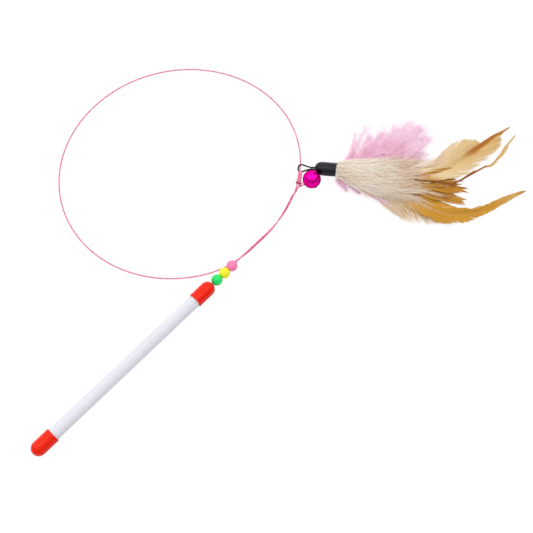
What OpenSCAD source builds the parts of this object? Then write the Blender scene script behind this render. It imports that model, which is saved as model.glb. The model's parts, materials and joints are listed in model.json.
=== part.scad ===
// Cat teaser wand: a capped tube handle, a looped spring wire with beads and a bell, and a feather lure.
// Origin: on the handle axis where the tube's butt end meets its cap. +X runs along the handle to the wire,
// +Y points to the side that the wire loops to, +Z is up. The wand lies on a flat surface.

/* [Handle] */
// Length of the plastic tube
tube_len = 148; // [100:1:240]
// Outside diameter of the tube
tube_d = 8.6; // [8:0.1:12]
// Wall of the tube
tube_wall = 0.8; // [0.6:0.1:1.2]
// Wall of a push-on end cap
cap_wall = 0.85; // [0.6:0.05:1.2]
// Length of tube that a cap covers
cap_grip = 10.9; // [8:0.1:16]
// Straight stretch of a cap past the tube's end
cap_stub = 1; // [0.5:0.1:2]
// Gap between the tube and its caps
cap_fit = 0.05; // [0.02:0.01:0.1]

/* [Wire anchor] */
// Length of the glue plug in the tube's mouth
plug_len = 10; // [6:0.5:14]
// Gap round the glue plug
plug_fit = 0.05; // [0.02:0.01:0.1]
// Inner bend of the wire's hooked tail
tail_bend_r = 1.2; // [1:0.1:1.5]
// Straight end of the wire's hooked tail
tail_hook = 0.9; // [0.5:0.1:1.1]

/* [Wire] */
// Diameter of the steel wire
wire_d = 0.8; // [0.7:0.05:0.9]
// Thickness of the foil sleeve on the wire
foil_wall = 0.09; // [0.06:0.01:0.12]
// Gap between the wire and its foil sleeve
foil_fit = 0.01; // [0.01:0.005:0.02]
// Radius of the round loop
loop_r = 91.1; // [80:0.1:110]
// Distance of the loop's centre ahead of the tube's butt end
loop_x = 205; // [200:0.5:230]
// How far the loop reaches past the handle's axis
loop_dip = 2.8; // [1.5:0.1:4]
// How much tighter than the loop the wire's first bend is
lead_less = 2.5; // [2.1:0.1:8]
// Length over which the wire sinks from the handle's axis to the surface
lead_drop = 190; // [150:1:230]
// Distance between the centres of the two twisted strands
twist_gap = 1.5; // [1.5:0.05:1.8]
// Length of one half turn of the twist
twist_half = 34; // [28:1:45]
// Length of the two strands' overlap, from the beads to the wire's end
twist_len = 103.5; // [95:0.5:115]

/* [Beads] */
// Diameter of a bead
bead_d = 7.8; // [7:0.1:7.9]
// Length of a bead along its hole
bead_len = 7.2; // [6.5:0.1:7.5]
// Gap between a bead's hole and the foil
bead_fit = 0.25; // [0.15:0.05:0.4]
// Gap between neighbouring beads
bead_gap = 0.15; // [0.1:0.05:0.4]
// Gap between the tip cap and the first bead
bead_lead = 0.4; // [0.35:0.05:1]

/* [Bell] */
// Diameter of the bell's round shell
bell_d = 13.3; // [12:0.1:14]
// Wall of the bell's shell
bell_wall = 0.5; // [0.4:0.05:0.8]
// How far the rolled seam stands out
seam_lip = 0.3; // [0.2:0.05:0.5]
// Height of the rolled seam on each half
seam_h = 0.55; // [0.4:0.05:0.8]
// Length of the sound slots
slot_len = 9; // [7:0.1:9.5]
// Width of the sound slots
slot_w = 1.1; // [0.8:0.1:1.4]
// Diameter of the hole at each slot's end
slot_end_d = 1.9; // [1.6:0.1:2.2]
// Diameter of the steel ball inside
pellet_d = 3.2; // [2.6:0.1:4]
// Diameter of the shank's wire
shank_d = 0.7; // [0.5:0.05:0.8]
// Radius of the shank's bow, at the middle of its wire
shank_r = 1.6; // [1.55:0.05:1.8]
// Distance from the bell's centre to the wire in the shank
shank_reach = 9.2; // [9:0.05:9.8]

/* [Lure sleeve] */
// Length of the black sleeve
sleeve_len = 16.65; // [14:0.05:18]
// Diameter of the black sleeve
sleeve_d = 10; // [9:0.1:10.4]
// Wall of the black sleeve
sleeve_wall = 0.8; // [0.6:0.05:1]
// Distance from the wire to the sleeve
sleeve_reach = 10.4; // [10:0.05:12]
// Diameter of the elastic cord
elastic_d = 1.2; // [1:0.05:1.3]
// Half the width of the elastic eye, at the middle of its cord
eye_half = 2.2; // [2.1:0.05:2.6]
// Gap round the glue core
core_fit = 0.05; // [0.02:0.01:0.1]

/* [Feathers] */
// Reach of the longest feather past the sleeve
feather_reach = 136; // [110:1:160]
// Length of the cream fluff
fluff_len = 52; // [45:0.5:60]
// Greatest width of the cream fluff
fluff_w = 23; // [19:0.5:26]
// Height of the cream fluff
fluff_h = 12.4; // [10.6:0.1:12.8]
// Reach of the pink marabou to the side
marabou_reach = 48; // [40:0.5:56]
// Thickness of the pink marabou
marabou_h = 6.4; // [5:0.1:7]
// Thickness of a hackle feather
hackle_t = 1; // [0.8:0.05:1.2]

/* [Hidden] */
$fn = 64;
// How far a cutting shape runs past what it cuts
overrun = 1;
// Gap that parts of different bodies keep where nothing slides
free_gap = 0.3;

// Handle sizes that follow
tube_r = tube_d / 2;
cap_bore_r = tube_r + cap_fit;
cap_r = cap_bore_r + cap_wall;
floor_z = -cap_r;
tip_x = tube_len + cap_stub + cap_r;

// Wire sizes that follow
wire_r = wire_d / 2;
foil_r = wire_r + foil_fit + foil_wall;
wire_floor_z = floor_z + foil_r;
sway_x = tip_x + free_gap;
stem_end_x = tip_x + bead_lead + 3 * (bead_len + bead_gap) + free_gap;
lift_x = stem_end_x + free_gap / 2;
loop_start_x = stem_end_x + free_gap;
loop_y = loop_r - loop_dip;
lead_r = loop_r - lead_less;
lead_x = loop_x + sqrt(pow(loop_r - lead_r, 2) - pow(lead_r - loop_y, 2));
// Angle of the circle at which the first bend runs into the loop
join_angle = atan2(lead_r - loop_y, lead_x - loop_x);
lead_arc = lead_r * (90 + join_angle) * PI / 180;

// Twisted stretch: where the return strand comes beside the first one, and where it ends
twist_start_x = lead_x - loop_r / 2 - twist_gap;
return_angle = 270 - asin((loop_x - twist_start_x) / loop_r);
return_side = loop_y + loop_r * sin(return_angle);
twist_end = twist_start_x + twist_len;
twist_first = atan2(wire_floor_z, return_side);
twist_width = norm([return_side, wire_floor_z]);
settle_len = 40;
settle_power = 2;
settle_turn = 50;
// Turning of the strand, in degrees for each unit of length, before and after the twist takes hold
slow_turn = settle_turn / settle_len;
full_turn = 180 / twist_half;
twist_hold = 0.55 * settle_len;
twist_ease = 0.2 * settle_len;

// Wire end: the return strand bows out for the bell's shank and ends in the foil binding
bow_half = 3.4;
bow_out = 2.6;
bow_drop = 1.6;
bind_len = 7.6;
bind_tail = 1;
bow_s = twist_end + bind_tail - bind_len - bow_half;
bind_start = bow_s + bow_half;
bind_wall = 0.2;
bind_fit = 0.2;

// Bell places that follow
bell_r = bell_d / 2;
belt_r = bell_r + seam_lip;
seam_gap = 0.05;
bell_yaw = -27.8;
ring_at = strand_b(bow_s);
bell_z = floor_z + belt_r;
bell_rise = asin((bell_z - ring_at[2]) / shank_reach);
bell_at = ring_at
    + shank_reach * [cos(bell_rise) * cos(bell_yaw), cos(bell_rise) * sin(bell_yaw), sin(bell_rise)];
shank_c = shank_reach - shank_r / 12;
pellet_drop = bell_r - bell_wall - pellet_d / 2 - free_gap;

// Lure places that follow
eye_lead = 3.2;
eye_s = bind_start + bind_len + eye_lead;
eye_at = strand_a(eye_s);
lure_yaw = strand_angle(eye_s) - 92.5;
sleeve_r = sleeve_d / 2;
sleeve_bore_r = sleeve_r - sleeve_wall;
sleeve_z = floor_z + sleeve_r;
elastic_r = elastic_d / 2;
eye_back = foil_r + elastic_r + free_gap;
core_start = sleeve_reach + sleeve_r * 0.9;
mouth_u = sleeve_reach + sleeve_len;
core_r = sleeve_bore_r - core_fit;

// Smooth step from 0 to 1
function ease(x) = let (t = max(0, min(1, x))) t * t * (3 - 2 * t);

// First strand: straight on the handle's axis, then the first bend, then the round loop.
// s counts the length from the tube's butt end, as if the handle's axis ran on.
function strand_angle(s) = s < lead_x ? 0
    : s < lead_x + lead_arc ? (s - lead_x) / lead_r * 180 / PI
    : 90 + join_angle + (s - lead_x - lead_arc) / loop_r * 180 / PI;
function strand_z(s) = wire_floor_z * ease((s - loop_start_x) / lead_drop);
function strand_a(s) = let (t = strand_angle(s)) s < lead_x ? [s, 0, strand_z(s)]
    : s < lead_x + lead_arc ? [lead_x + lead_r * sin(t), lead_r - lead_r * cos(t), strand_z(s)]
    : [loop_x + loop_r * sin(t), loop_y - loop_r * cos(t), strand_z(s)];
function side_of(s) = [-sin(strand_angle(s)), cos(strand_angle(s)), 0];

// Return strand: it draws in to the first one, turns round it, bows out and ends beside it
function strand_gap(s) = twist_gap
    + (twist_width - twist_gap) * pow(1 - min(1, (s - twist_start_x) / settle_len), settle_power);
function strand_turn(s) = let (x = s - twist_start_x, u = x - twist_hold)
    twist_first - slow_turn * x
    - (full_turn - slow_turn) * (sqrt(u * u + twist_ease * twist_ease) + u
      - sqrt(twist_hold * twist_hold + twist_ease * twist_ease) + twist_hold) / 2;
function strand_twisted(s) = strand_a(s)
    + strand_gap(s) * (cos(strand_turn(s)) * side_of(s) + [0, 0, sin(strand_turn(s))]);
function bow(s) = let (x = min(1, abs(s - bow_s) / bow_half)) pow(1 - x * x, 2);
function strand_beside(s) = strand_a(s) - (twist_gap + (bow_out - twist_gap) * bow(s)) * side_of(s);
function strand_b(s) = let (w = ease((s - bow_s + 3 * bow_half) / (2.4 * bow_half)))
    (1 - w) * strand_twisted(s) + w * strand_beside(s) - [0, 0, bow_drop * sin(180 * w)];

// The whole wire from the beads to its end, as a list of places
bend_steps = 16;
loop_steps = 30;
twist_steps = 22;
end_steps = 12;
bow_start = bow_s - 2 * bow_half;
loop_end = lead_x + lead_arc + loop_r * (return_angle - join_angle) * PI / 180;
wire_route = concat(
    [for (i = [0:2]) strand_a(loop_start_x + (lead_x - loop_start_x) * i / 3)],
    [for (i = [0:bend_steps]) strand_a(lead_x + lead_arc * i / bend_steps)],
    [for (i = [1:loop_steps - 1])
        strand_a(lead_x + lead_arc + (loop_end - lead_x - lead_arc) * i / loop_steps)],
    [for (i = [0:twist_steps]) strand_b(twist_start_x + (bow_start - twist_start_x) * i / twist_steps)],
    [for (i = [1:end_steps]) strand_b(bow_start + (twist_end - bow_start) * i / end_steps)]);

function sum_from(v, i) = i < len(v) ? v[i] + sum_from(v, i + 1) : 0;
function length_of(p) = sum_from([for (i = [1:len(p) - 1]) norm(p[i] - p[i - 1])], 0);
twist_rings = twist_steps + end_steps;
fine_b = [for (i = [0:4 * twist_rings]) strand_b(twist_start_x + twist_len * i / (4 * twist_rings))];
fine_a = [for (i = [0:4 * twist_rings])
    strand_a(loop_start_x + (eye_s - loop_start_x) * i / (4 * twist_rings))];
echo(wire_length = length_of(wire_route) + loop_start_x - tube_len + plug_len + tail_bend_r + tail_hook,
     wire_rings = len(wire_route),
     least_gap_of_strands = min([for (p = fine_b) for (q = fine_a) norm(p - q)]) - 2 * foil_r,
     bell_at = bell_at, ring_at = ring_at, eye_at = eye_at, lure_yaw = lure_yaw,
     lift_x = lift_x, sway_x = sway_x);

// A round section carried along a route: one list of ring points for each place
function unit(v) = v / norm(v);
function along(p, i) = unit(p[min(i + 1, len(p) - 1)] - p[max(i - 1, 0)]);
function ring_at_place(p, i, r, n) = let (t = along(p, i), x = unit(cross([0, 0, 1], t)), y = cross(t, x))
    [for (k = [0:n - 1]) p[i] + r * (cos(360 * (k + 0.5) / n) * x + sin(360 * (k + 0.5) / n) * y)];
function strip(a, b, n) = [for (k = [0:n - 1]) let (m = (k + 1) % n)
    each [[a + k, b + k, b + m], [a + k, b + m, a + m]]];
function flip(faces) = [for (f = faces) [f[2], f[1], f[0]]];

// Closed solid through a list of rings, each with the same number of points
module skin(rings) {
    n = len(rings[0]);
    last = (len(rings) - 1) * n;
    polyhedron(
        points = [for (r = rings) each r],
        faces = concat(
            [for (i = [0:len(rings) - 2]) each strip(i * n, (i + 1) * n, n)],
            [for (k = [1:n - 2]) [0, k, k + 1]],
            [for (k = [1:n - 2]) [last, last + k + 1, last + k]]));
}

// Hollow sleeve along a route, open at both ends
module sleeve(route, r_out, r_in, n) {
    m = len(route);
    rings = concat([for (i = [0:m - 1]) ring_at_place(route, i, r_out, n)],
                   [for (i = [0:m - 1]) ring_at_place(route, i, r_in, n)]);
    polyhedron(
        points = [for (r = rings) each r],
        faces = concat(
            [for (i = [0:m - 2]) each strip(i * n, (i + 1) * n, n)],
            flip([for (i = [0:m - 2]) each strip((m + i) * n, (m + i + 1) * n, n)]),
            strip(m * n, 0, n),
            strip((m - 1) * n, (2 * m - 1) * n, n)));
}

module tube_along(route, r, n) {
    skin([for (i = [0:len(route) - 1]) ring_at_place(route, i, r, n)]);
}

// A cylinder along +X from x
module rod(x, length, r) {
    translate([x, 0, 0]) rotate([0, 90, 0]) cylinder(r = r, h = length);
}

module pipe(x, length, r_out, r_in) {
    difference() {
        rod(x, length, r_out);
        rod(x - overrun, length + 2 * overrun, r_in);
    }
}

// Push-on cap, turned about its axis: round end at the bottom, open mouth at the top
module cap_shell(hole_r) {
    rotate_extrude() difference() {
        union() {
            translate([0, -cap_stub]) intersection() {
                circle(r = cap_r);
                translate([0, -cap_r]) square([cap_r, cap_r]);
            }
            translate([0, -cap_stub]) square([cap_r, cap_stub + cap_grip]);
        }
        translate([0, -cap_stub]) circle(r = cap_bore_r);
        translate([-overrun, -cap_stub]) square([cap_bore_r + overrun, cap_stub + cap_grip + overrun]);
        if (hole_r > 0)
            translate([-overrun, -cap_stub - cap_r - overrun]) square([hole_r + overrun, cap_r + overrun]);
    }
}

module handle_tube() {
    color("ghostwhite") pipe(0, tube_len, tube_r, tube_r - tube_wall);
}

module butt_cap() {
    color("orangered") rotate([0, 90, 0]) cap_shell(0);
}

module tip_cap() {
    color("orangered") translate([tube_len, 0, 0]) rotate([0, -90, 0]) cap_shell(foil_r + bead_fit);
}

module glue_plug() {
    color("ivory") pipe(tube_len - plug_len, plug_len, tube_r - tube_wall - plug_fit, wire_r + plug_fit);
}

// Bare wire in the handle, with a hooked end behind the plug
module wire_tail() {
    hook_x = tube_len - plug_len - free_gap;
    color("silver") union() {
        rod(hook_x, tip_x - hook_x, wire_r);
        translate([hook_x, 0, tail_bend_r]) rotate([90, 0, 0])
            rotate_extrude(angle = 90, start = 180) translate([tail_bend_r, 0]) circle(r = wire_r);
        translate([hook_x - tail_bend_r, 0, tail_bend_r]) cylinder(r = wire_r, h = tail_hook);
    }
}

module wire_stem() {
    color("silver") rod(sway_x, stem_end_x - sway_x, wire_r);
}

module foil_stem() {
    color("palevioletred") pipe(sway_x, stem_end_x - sway_x, foil_r, wire_r + foil_fit);
}

// Bead number i from the tip cap: a ball with flat ends and a hole
module bead(i) {
    x = tip_x + bead_lead + i * (bead_len + bead_gap);
    difference() {
        intersection() {
            translate([x + bead_len / 2, 0, 0]) sphere(r = bead_d / 2);
            rod(x, bead_len, bead_d);
        }
        rod(x - overrun, bead_len + 2 * overrun, foil_r + bead_fit);
    }
}

module green_bead() {
    color("springgreen") bead(0);
}

module yellow_bead() {
    color("gold") bead(1);
}

module pink_bead() {
    color("hotpink") bead(2);
}

module wire_loop() {
    color("silver") tube_along(wire_route, wire_r, 8);
}

module foil_loop() {
    color("palevioletred") sleeve(wire_route, foil_r, wire_r + foil_fit, 8);
}

// Flat foil sleeve that binds the wire's end to the first strand
module foil_binding() {
    r = foil_r + bind_fit + bind_wall;
    mid_s = bind_start + bind_len / 2;
    a = strand_a(mid_s);
    color("hotpink") translate(a) rotate([0, 0, strand_angle(mid_s)])
        rotate([0, atan2(strand_z(bind_start) - strand_z(bind_start + bind_len), bind_len), 0])
        translate([-bind_len / 2, 0, 0]) rotate([0, 90, 0]) linear_extrude(height = bind_len) difference() {
            union() {
                circle(r = r);
                translate([0, -twist_gap]) circle(r = r);
                translate([-r, -twist_gap]) square([2 * r, twist_gap]);
            }
            circle(r = foil_r + bind_fit);
            translate([0, -twist_gap]) circle(r = foil_r + bind_fit);
        }
}

// The bell's own frame: z runs from the bell's centre to its shank
module on_bell() {
    translate(bell_at) rotate([0, 90 + bell_rise, 180 + bell_yaw]) children();
}

// Half shell of the bell above its seam
module half_shell() {
    rotate_extrude() difference() {
        union() {
            intersection() {
                circle(r = bell_r);
                translate([0, seam_gap / 2]) square([bell_r, bell_r]);
            }
            translate([0, seam_gap / 2]) square([belt_r, seam_h]);
        }
        circle(r = bell_r - bell_wall);
        translate([-overrun, -overrun]) square([bell_r - bell_wall, overrun + seam_gap]);
    }
}

// Bow of the shank, stood on two legs that reach into the upper shell
module shank(grow) {
    leg_foot = bell_r - bell_wall - free_gap;
    translate([0, 0, shank_c]) rotate([90, 0, 0])
        rotate_extrude(angle = 180) translate([shank_r, 0]) circle(r = shank_d / 2 + grow);
    for (side = [-1, 1]) translate([side * shank_r, 0, leg_foot])
        cylinder(r = shank_d / 2 + grow, h = shank_c - leg_foot);
}

module bell_upper_shell() {
    color("mediumvioletred") on_bell() difference() {
        half_shell();
        for (side = [-1, 1]) translate([side * shank_r, 0, bell_r / 2])
            cylinder(r = shank_d / 2 + seam_gap, h = bell_r);
    }
}

module bell_lower_shell() {
    color("mediumvioletred") on_bell() difference() {
        rotate([180, 0, 0]) half_shell();
        for (turn = [0, 90]) rotate([0, 0, turn]) {
            translate([-slot_len / 2, -slot_w / 2, -bell_r - overrun]) cube([slot_len, slot_w, bell_r]);
            for (side = [-1, 1]) translate([side * slot_len / 2, 0, -bell_r - overrun])
                cylinder(r = slot_end_d / 2, h = bell_r);
        }
    }
}

module bell_shank() {
    color("mediumvioletred") on_bell() shank(0);
}

module bell_pellet() {
    color("silver") translate(bell_at - [0, 0, pellet_drop]) sphere(r = pellet_d / 2);
}

// The lure's own frame: x runs from the wire to the feathers' tips, z is up from the handle's axis
module on_lure() {
    translate([eye_at[0], eye_at[1], 0]) rotate([0, 0, lure_yaw]) children();
}

// Elastic eye: over the wire, round it and back under it. It closes at the sleeve, which holds both ends.
eye_steps = 28;
eye_lift = eye_back * 1.1;
eye_close_share = 0.75;
eye_close_turn = 160;
function eye_route(q) = [
    -eye_back + (core_start - free_gap + eye_back) * q * q,
    eye_half * sin(eye_close_turn * max(-1, min(1, q / eye_close_share))),
    eye_at[2] + (abs(q) < 0.6 ? eye_lift * sin(300 * q) : 0) + (sleeve_z - eye_at[2]) * q * q];

module elastic_cord() {
    color("dimgray") on_lure()
        tube_along([for (i = [0:eye_steps]) eye_route(2 * i / eye_steps - 1)], elastic_r, 8);
}

// Black sleeve: a tube with a rounded end that the elastic goes through
module feather_sleeve() {
    mouth_hole_r = eye_half * sin(eye_close_turn) + elastic_r + free_gap;
    color("#2b2a2e") on_lure() translate([sleeve_reach + sleeve_r, 0, sleeve_z]) rotate([0, 90, 0])
        rotate_extrude() difference() {
            union() {
                intersection() {
                    circle(r = sleeve_r);
                    translate([0, -sleeve_r]) square([sleeve_r, sleeve_r]);
                }
                square([sleeve_r, sleeve_len - sleeve_r]);
            }
            circle(r = sleeve_bore_r);
            translate([-overrun, 0]) square([sleeve_bore_r + overrun, sleeve_len]);
            translate([-overrun, -sleeve_r - overrun]) square([mouth_hole_r + overrun, sleeve_r]);
        }
}

module glue_core() {
    color("wheat") on_lure() translate([0, 0, sleeve_z])
        rod(sleeve_reach + sleeve_r, sleeve_len - sleeve_r, core_r);
}

// Rings of a soft body along the lure: centre line, half width and half height at each step
function oval(c, a, b, n) =
    [for (k = [0:n - 1]) [c[0], c[1] + a * cos(360 * k / n), c[2] + b * sin(360 * k / n)]];

// Fluff: round at the sleeve, flatter and wider ahead, blunt where the long feathers leave it
fluff_steps = 14;
fluff_sides = 16;
fluff_side_share = 0.13;
fluff_root_share = 0.44;
fluff_end_share = 0.86;
function fluff_half(t) = fluff_w / 2 * (fluff_root_share + (1 - fluff_root_share) * ease(1.5 * t))
    * (1 - (1 - fluff_end_share) * ease(3 * t - 2));
function fluff_tall(t) = fluff_h / 2 * (0.8 + 0.2 * ease(3 * t)) * (1 - 0.25 * ease(3 * t - 2));
function fluff_mid(t) = [mouth_u + free_gap + fluff_len * t, -fluff_side_share * fluff_len * t * t,
                         max(sleeve_z, floor_z + fluff_tall(t) + hackle_t / 10)];
module fluff(grow) {
    skin([for (i = [0:fluff_steps]) let (t = i / fluff_steps)
          oval(fluff_mid(t), fluff_half(t) + grow, fluff_tall(t) + grow, fluff_sides)]);
}

module cream_fluff() {
    color("antiquewhite") on_lure() fluff(0);
}

// Tufts of the marabou: root and tip as shares of its reach, and a width share
marabou_tuft_shares = [
    [[0.18, 0.14], [0.24, 0.72], 0.05], [[0.24, 0.14], [0.39, 0.79], 0.07],
    [[0.34, 0.14], [0.62, 0.72], 0.14], [[0.46, 0.16], [0.82, 0.88], 0.17],
    [[0.58, 0.16], [1.10, 0.96], 0.17], [[0.70, 0.18], [1.32, 0.86], 0.16],
    [[0.84, 0.16], [1.38, 0.56], 0.15], [[0.16, -0.14], [0.12, -0.24], 0.08],
    [[0.30, -0.14], [0.30, -0.36], 0.08], [[0.50, -0.20], [0.62, -0.44], 0.10],
    [[0.66, -0.24], [0.84, -0.50], 0.09]];
module tuft(root, tip, w) {
    mid = (root + 2 * tip) / 3;
    hull() {
        translate([root[0], root[1], 0]) scale([1, 1, marabou_h / 3 / w]) sphere(r = w, $fn = 10);
        translate([mid[0], mid[1], 0]) scale([1, 1, marabou_h / 2 / w]) sphere(r = w, $fn = 10);
        translate([tip[0], tip[1], 0]) scale([1, 1, marabou_h / 2 / w]) sphere(r = w / 4, $fn = 8);
    }
}

module pink_marabou() {
    color("lightpink") on_lure() difference() {
        translate([mouth_u, 0, floor_z + marabou_h / 2])
            for (t = marabou_tuft_shares)
                tuft(t[0] * marabou_reach, t[1] * marabou_reach, t[2] * marabou_reach);
        fluff(free_gap);
    }
}

// A long feather's blade: a flat body along a curve that is bent by four places, given as shares of the
// longest reach, with its own width on each side of the shaft and a height at root and tip
blade_steps = 14;
function bend4(p, t) = pow(1 - t, 3) * p[0] + 3 * t * pow(1 - t, 2) * p[1]
    + 3 * t * t * (1 - t) * p[2] + pow(t, 3) * p[3];
function blade_width(w, t) = max(hackle_t / 2, w * pow(sin(180 * pow(t, 0.8)), 0.7));
function blade_ring(p, t, left, right) = let (
        c = bend4(p, t), d = unit(bend4(p, min(1, t + 0.02)) - bend4(p, max(0, t - 0.02))),
        x = unit(cross([0, 0, 1], d)), l = blade_width(left, t), r = blade_width(right, t),
        h = hackle_t / 2 * (1 - 0.5 * t))
    [c - r * x, c + [0, 0, -h] - r / 2 * x, c + [0, 0, -h] + l / 2 * x, c + l * x,
     c + [0, 0, h] + l / 2 * x, c + [0, 0, h] - r / 2 * x];
module blade(shares, left, right) {
    root = [mouth_u + 2 * free_gap + fluff_len, 0, 0];
    places = [for (s = shares)
        root + [s[0] * (feather_reach - fluff_len), s[1] * feather_reach, s[2] * fluff_h]];
    color("peru") on_lure()
        skin([for (i = [0:blade_steps]) blade_ring(places, i / blade_steps, left, right)]);
}

// Widths of the vanes on the two sides of each shaft, as shares of the longest reach
peach_shares = [[0, 0.015, 0.24], [0.2, 0.05, 0.24], [0.38, 0.19, 0.18], [0.62, 0.255, 0.06]];
peach_vane_share = 0.05;
striped_shares = [[0, -0.01, 0.06], [0.3, -0.01, 0.06], [0.6, 0.08, -0.02], [0.862, 0.364, -0.14]];
striped_vane_share = 0.052;
thin_shares = [[0, -0.045, -0.1], [0.35, -0.06, -0.1], [0.68, 0.04, -0.18], [0.92, 0.328, -0.26]];
thin_vane_share = 0.021;
short_shares = [[[0, -0.08, -0.1], [0.15, -0.1, -0.1], [0.3, -0.1, -0.16], [0.44, -0.09, -0.26]]];
short_vane_share = 0.022;
sickle_shares = [[0, -0.105, -0.26], [0.3, -0.29, -0.3], [0.62, -0.2, -0.31], [0.985, -0.018, -0.26]];
sickle_vane_share = 0.062;

module peach_hackle() {
    blade(peach_shares, peach_vane_share * feather_reach, peach_vane_share * feather_reach);
}

module striped_hackle() {
    blade(striped_shares, striped_vane_share * feather_reach / 2, striped_vane_share * feather_reach);
}

module thin_hackle() {
    blade(thin_shares, thin_vane_share * feather_reach, thin_vane_share * feather_reach);
}

module short_hackles() {
    for (s = short_shares) blade(s, short_vane_share * feather_reach, short_vane_share * feather_reach);
}

module sickle_hackle() {
    blade(sickle_shares, sickle_vane_share * feather_reach, sickle_vane_share * feather_reach);
}

handle_tube();
butt_cap();
tip_cap();
glue_plug();
wire_tail();
wire_stem();
foil_stem();
green_bead();
yellow_bead();
pink_bead();
wire_loop();
foil_loop();
foil_binding();
bell_upper_shell();
bell_lower_shell();
bell_shank();
bell_pellet();
elastic_cord();
feather_sleeve();
glue_core();
cream_fluff();
pink_marabou();
peach_hackle();
striped_hackle();
thin_hackle();
short_hackles();
sickle_hackle();
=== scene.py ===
"""Cat teaser wand: looks for the capped handle, the foil-wrapped wire with its beads and bell, and the feather lure.

Every length is in metres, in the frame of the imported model: x along the handle, y to the loop's side, z up.
"""
import json
import math

import bpy
import numpy as np
from mathutils import Matrix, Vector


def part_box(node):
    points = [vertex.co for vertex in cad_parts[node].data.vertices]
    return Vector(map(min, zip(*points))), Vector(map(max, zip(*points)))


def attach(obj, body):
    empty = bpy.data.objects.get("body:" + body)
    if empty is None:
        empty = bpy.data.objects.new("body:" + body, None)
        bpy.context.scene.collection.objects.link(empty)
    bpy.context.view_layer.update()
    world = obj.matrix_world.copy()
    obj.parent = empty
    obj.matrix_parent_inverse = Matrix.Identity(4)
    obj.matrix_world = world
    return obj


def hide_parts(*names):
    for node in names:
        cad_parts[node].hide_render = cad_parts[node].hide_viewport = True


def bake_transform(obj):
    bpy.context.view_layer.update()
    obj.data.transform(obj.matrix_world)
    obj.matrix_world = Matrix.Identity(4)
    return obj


bl_info = {
    "name": "Cat teaser wand",
    "version": (1, 0, 0),
    "blender": (4, 5, 0),
    "location": "View3D > Sidebar > Teaser wand",
    "description": "Builds the looks of a cat teaser wand round its packed frame",
    "category": "Object",
}

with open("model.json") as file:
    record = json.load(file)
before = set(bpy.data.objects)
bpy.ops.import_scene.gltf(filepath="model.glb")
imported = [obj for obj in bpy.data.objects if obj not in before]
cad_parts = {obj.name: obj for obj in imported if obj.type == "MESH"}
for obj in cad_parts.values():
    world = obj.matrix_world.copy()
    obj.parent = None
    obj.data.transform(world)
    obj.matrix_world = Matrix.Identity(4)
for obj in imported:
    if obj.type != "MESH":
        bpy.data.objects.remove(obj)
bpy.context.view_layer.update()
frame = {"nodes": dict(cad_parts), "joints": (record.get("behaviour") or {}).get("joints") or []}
JOINTS = {joint["name"]: joint for joint in frame["joints"]}
MM = 0.001
SEED = 20
CHART = "OFBake"  # the UV map that feathers are coloured through: along the feather, and tone band with barb
TONES = 8


def srgb(red, green, blue):
    """A colour from 0 to 255 as seen on a screen, turned linear, with alpha 1."""
    seen = np.array([red, green, blue]) / 255
    linear = np.where(seen <= 0.04045, seen / 12.92, ((seen + 0.055) / 1.055) ** 2.4)
    return (*[float(v) for v in linear], 1.0)


def corners(node):
    """Lowest and highest corner of a CAD node, as arrays."""
    low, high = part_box(node)
    return np.array(low), np.array(high)


# Places that follow from the frame
TUBE_LOW, TUBE_HIGH = corners("handle_tube")
CAP_LOW, CAP_HIGH = corners("butt_cap")
TIP_LOW, TIP_HIGH = corners("tip_cap")
TUBE_R = (TUBE_HIGH[2] - TUBE_LOW[2]) / 2
CAP_R = (CAP_HIGH[2] - CAP_LOW[2]) / 2
FLOOR_Z = CAP_LOW[2]
LURE_AT = np.array(JOINTS["lure_twirl"]["pos_m"])
LURE_AXIS = np.array(JOINTS["lure_twirl"]["axis"])
LURE_YAW = math.atan2(LURE_AXIS[1], LURE_AXIS[0])
EYE_AT = np.array(JOINTS["lure_swing"]["pos_m"])
LIFT_X = JOINTS["wire_lift"]["pos_m"][0]


class HandleLooks(bpy.types.PropertyGroup):
    """Sizes and colours of the handle and its caps."""
    tube_colour: bpy.props.FloatVectorProperty(
        name="Tube colour", description="Colour of the extruded tube", subtype="COLOR", size=4,
        min=0, max=1, default=srgb(231, 231, 240))
    cap_colour: bpy.props.FloatVectorProperty(
        name="Cap colour", description="Colour of the dipped vinyl caps", subtype="COLOR", size=4,
        min=0, max=1, default=srgb(244, 20, 0))
    cap_wall: bpy.props.FloatProperty(
        name="Cap wall", description="Wall of a cap at its open rim", unit="LENGTH", default=0.85 * MM)
    rim_round: bpy.props.FloatProperty(
        name="Rim rounding", description="Radius of a cap's soft rim", unit="LENGTH", default=0.35 * MM)


class WireLooks(bpy.types.PropertyGroup):
    """Sizes and colours of the foil sleeve on the wire."""
    foil_colour: bpy.props.FloatVectorProperty(
        name="Foil colour", description="Colour of the metallic film", subtype="COLOR", size=4,
        min=0, max=1, default=srgb(240, 108, 148))
    foil_pitch: bpy.props.FloatProperty(
        name="Foil pitch", description="Length of one turn of the wound film", unit="LENGTH", default=2.6 * MM)
    foil_step: bpy.props.FloatProperty(
        name="Foil step", description="Height of the film's lapped edge", unit="LENGTH", default=0.05 * MM)
    steel_colour: bpy.props.FloatVectorProperty(
        name="Steel colour", description="Colour of the bare wire", subtype="COLOR", size=4,
        min=0, max=1, default=srgb(196, 196, 200))
    glue_colour: bpy.props.FloatVectorProperty(
        name="Glue colour", description="Colour of the hot glue", subtype="COLOR", size=4,
        min=0, max=1, default=srgb(238, 232, 208))


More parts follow.
